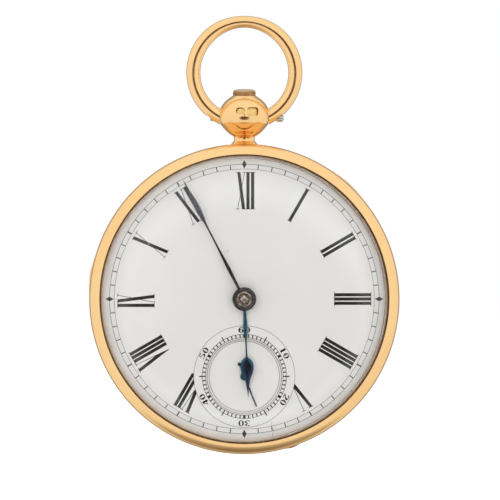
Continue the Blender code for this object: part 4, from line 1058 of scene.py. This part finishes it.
def winding_pieces():
    arbor = lathe(eased([(0, -0.15), (0.5, -0.15), (0.5, -2.2), (1.1, -2.2), (1.1, -3.35), (0.66, -3.35), (0.66, -5.3),
                         (0.5, -5.3), (0.5, -5.7), (0, -5.7)], 0.03, closed=False), 48, (*BARREL, 0))
    square = chamfered(flat(-6.15, -5.25, circle(0.8, 4), at=BARREL), 0.06)
    stand_in("barrel_arbor", join(arbor, square))
    wheel = flat(-5.2, -4.95, saw_teeth(24, 2.65, 3.0), [circle(0.72, 48)], BARREL)
    stand_in("ratchet_wheel", chamfered(wheel, 0.03))
    beak = (polar(3.2, 12, BARREL)[0] - CLICK[0], polar(3.2, 12, BARREL)[1] - CLICK[1])
    away = heading((0, 0), beak)
    stand_in("click", chamfered(flat(-5.2, -4.95, arc(0.75, away + 50, away + 310, 48) + [beak], [circle(0.36, 32)],
                                     CLICK), 0.03))
    screw_piece("click_screw", CLICK, -5.45, 0.55, 0.2, 0.3, 1.2, 110)
    points, _ = ribbon([(12.3, 4.2), (12.1, 5.6), (11.5, 7.2), (10.5, 8.6), (9.2, 9.6)],
                       (0.34, 0.3, 0.28, 0.24, 0.2), 8)
    half = len(points) // 2
    leaf = flat(-5.2, -4.95, points[:half] + points[half:][::-1])
    stand_in("click_spring", join(chamfered(leaf, 0.03), rod(0.8, (12.3, 3.9, -5.21), (12.3, 3.9, -4.94), 48, 0.03)))


def balance_pieces():
    wheel = flat(-3.6, -3.0, circle(6.2, 160), [circle(0.27, 32), *crossings(1.1, 5.6, 2, 0.9, 35)], BALANCE)
    chamfered(wheel, 0.04)
    studs = []
    for i in range(RIM_SCREWS):
        a = 35 + 360 * (i + 0.5) / RIM_SCREWS
        studs.append(rod(0.2, (*polar(6.1, a, BALANCE), -3.3), (*polar(6.5, a, BALANCE), -3.3), 16, 0.03))
    stand_in("balance_wheel", join(wheel, *studs))
    staff = [(0, -4.8), (0.1, -4.8), (0.12, -4.5), (0.22, -4.3), (0.22, -0.7), (0.12, -0.5), (0.1, -0.3), (0, -0.3)]
    stand_in("balance_staff", lathe(eased(staff, 0.02, closed=False), 32, (*BALANCE, 0)))
    turns, per_turn = 9, 40
    coil = [(*polar(0.6 + 2.8 * i / (turns * per_turn), 360 * i / per_turn), 0.0) for i in range(turns * per_turn + 1)]
    stand_in("balance_spring", wire(coil, 0.045, 1, (*BALANCE, -3.95)))


def centre_pieces():
    arbor = lathe([(0, 4.2), (0.28, 4.2), (0.28, 3.8), (0.42, 3.8), (0.42, -3.85), (0.28, -3.85), (0.28, -4.75),
                   (0, -4.75)], 32)
    leaves = [polar(r, 36 * i + a) for i in range(10) for r, a in ((0.72, -9), (1.1, -3), (1.1, 3), (0.72, 9))]
    square = chamfered(flat(3.75, 4.6, circle(0.6, 4)), 0.05, 3)
    turn = heading(CENTRE, BARREL) + 18
    stand_in("centre_arbor", join(arbor, flat(-3.65, -1.6, leaves, turn=turn), square))


# ---------------------------------------------------------------- stage, light and camera

def at_angle(degrees):
    return math.cos(math.radians(degrees))


# The tent's brightness by the cosine toward the front and toward the top, and by distance from the dark opening.
# The opening's numbers are sines of half its width, half its height and its middle; BEHIND_GLASS is added to
# TENT_STRENGTH for light that comes through glass.
FRONT_STOPS = ((-1.0, (0.9, 0.9, 0.9)), (at_angle(163), (0.84, 0.83, 0.82)), (at_angle(153), (0.28, 0.25, 0.23)),
               (at_angle(146), (0.34, 0.31, 0.29)), (at_angle(118), (0.97, 0.97, 0.96)), (1.0, (1.0, 1.0, 0.99)))
HEIGHT_STOPS = ((-1.0, (0.26, 0.22, 0.18)), (-0.92, (0.40, 0.37, 0.34)), (-0.7, (0.93, 0.93, 0.93)),
                (1.0, (1.0, 1.0, 1.0)))
OPENING_STOPS = ((0.0, (0.10, 0.05, 0.03)), (0.7, (0.16, 0.09, 0.06)), (1.2, (1.0, 1.0, 1.0)))
OPENING_WIDE, OPENING_HIGH, OPENING_LEVEL = 0.38, 0.28, -0.09
TENT_STRENGTH, BEHIND_GLASS = 1.08, 0.83
CAMERA_X, CAMERA_Z, DIAL_PLANE, VIEW_WIDTH, CAMERA_FAR = 0.00088, -0.03454, -0.004, 0.0773, 0.8
FLOOR_Z, FLOOR_R, SENSOR_WIDTH = -0.082, 3.0, 36


def world():
    """White tent light, dark in a small opening before the watch and dimmer behind it, and a pure white backdrop."""
    made = bpy.data.worlds.new("tent")
    SCENE.world = made
    made.use_nodes = True
    made.node_tree.nodes.clear()
    sky = Tree(made.node_tree)
    direction = sky.add("ShaderNodeTexCoord").outputs["Generated"]

    def band(value, stops):
        """A brightness from stops between -2 and 2."""
        fit = sky.add("ShaderNodeMapRange", Value=value, From_Min=-2.0, From_Max=2.0)
        return sky.ramp(fit.outputs["Result"], *(((at + 2) / 4, colour) for at, colour in stops), ease="EASE")

    def times(a, b):
        return sky.mix(1.0, a, b, "MULTIPLY")

    front = band(sky.vector_math("DOT_PRODUCT", direction, (0.0, -1.0, 0.0)), FRONT_STOPS)
    height = band(sky.vector_math("DOT_PRODUCT", direction, (0.0, 0.0, 1.0)), HEIGHT_STOPS)
    squeezed = sky.add("ShaderNodeMapping", Vector=direction, Scale=(1 / OPENING_WIDE, 1.0, 1 / OPENING_HIGH),
                       Location=(0.0, 1.0, -OPENING_LEVEL / OPENING_HIGH))
    opening = band(sky.vector_math("LENGTH", squeezed.outputs[0]), OPENING_STOPS)
    path = sky.add("ShaderNodeLightPath")
    strength = sky.math("MULTIPLY_ADD", path.outputs["Is Transmission Ray"], BEHIND_GLASS, TENT_STRENGTH)
    tent = sky.add("ShaderNodeBackground", Color=times(opening, times(front, height)), Strength=strength)
    backdrop = sky.add("ShaderNodeBackground", Color=(1, 1, 1, 1))
    seen = sky.add("ShaderNodeMixShader", Fac=path.outputs["Is Camera Ray"])
    sky.set(seen.inputs[1], tent.outputs[0])
    sky.set(seen.inputs[2], backdrop.outputs[0])
    sky.add("ShaderNodeOutputWorld", Surface=seen.outputs[0])


def stage():
    world()
    bm = bmesh.new()
    bmesh.ops.create_circle(bm, cap_ends=True, segments=96, radius=FLOOR_R)
    bmesh.ops.translate(bm, vec=(0, 0, FLOOR_Z), verts=bm.verts)
    mesh = bpy.data.meshes.new("floor")
    bm.to_mesh(mesh)
    bm.free()
    look = Nodes("floor_white", Roughness=0.6)
    tone = look.ramp(look.noise(8, 2), (0.3, (0.86, 0.86, 0.86)), (0.7, (0.88, 0.88, 0.88)))
    look.shade(Base_Color=tone, Emission_Color=(1, 1, 1, 1), Emission_Strength=0.28)
    mesh.materials.append(look.material)
    floor = link("floor", mesh)
    floor.visible_glossy = floor.visible_diffuse = floor.visible_transmission = False
    for name, at, size, power in (("key", (-0.35, -0.55, 0.45), 0.5, 4.2), ("fill", (0.5, -0.4, 0.2), 0.5, 2.4)):
        lamp = bpy.data.lights.new(name, "AREA")
        lamp.shape, lamp.size, lamp.energy = "DISK", size, power
        obj = link(name, lamp)
        obj.location = at
        obj.visible_glossy = obj.visible_transmission = False
        obj.rotation_euler = (Vector(at) - Vector((0, 0, -0.04))).to_track_quat("Z", "Y").to_euler()
    camera = bpy.data.cameras.new("camera")
    camera.sensor_width = SENSOR_WIDTH
    camera.lens = SENSOR_WIDTH * CAMERA_FAR / VIEW_WIDTH
    camera.clip_start, camera.clip_end = 0.05, 20
    eye = link("camera", camera)
    eye.location = (CAMERA_X, DIAL_PLANE - CAMERA_FAR, CAMERA_Z)
    eye.rotation_euler = (math.radians(90), 0, 0)
    SCENE.camera = eye
    SCENE.view_settings.view_transform = "Standard"


# ---------------------------------------------------------------- the whole watch

for node_name, node in frame["nodes"].items():
    node.data.materials.clear()
    node.data.materials.append(LOOKS[SLOTS[node_name]])
    for polygon in node.data.polygons:
        polygon.material_index = 0
case_pieces()
pendant_pieces()
dial_pieces()
glass_lines()
hand_pieces()
plates()
cock_pieces()
winding_pieces()
balance_pieces()
centre_pieces()
stage()
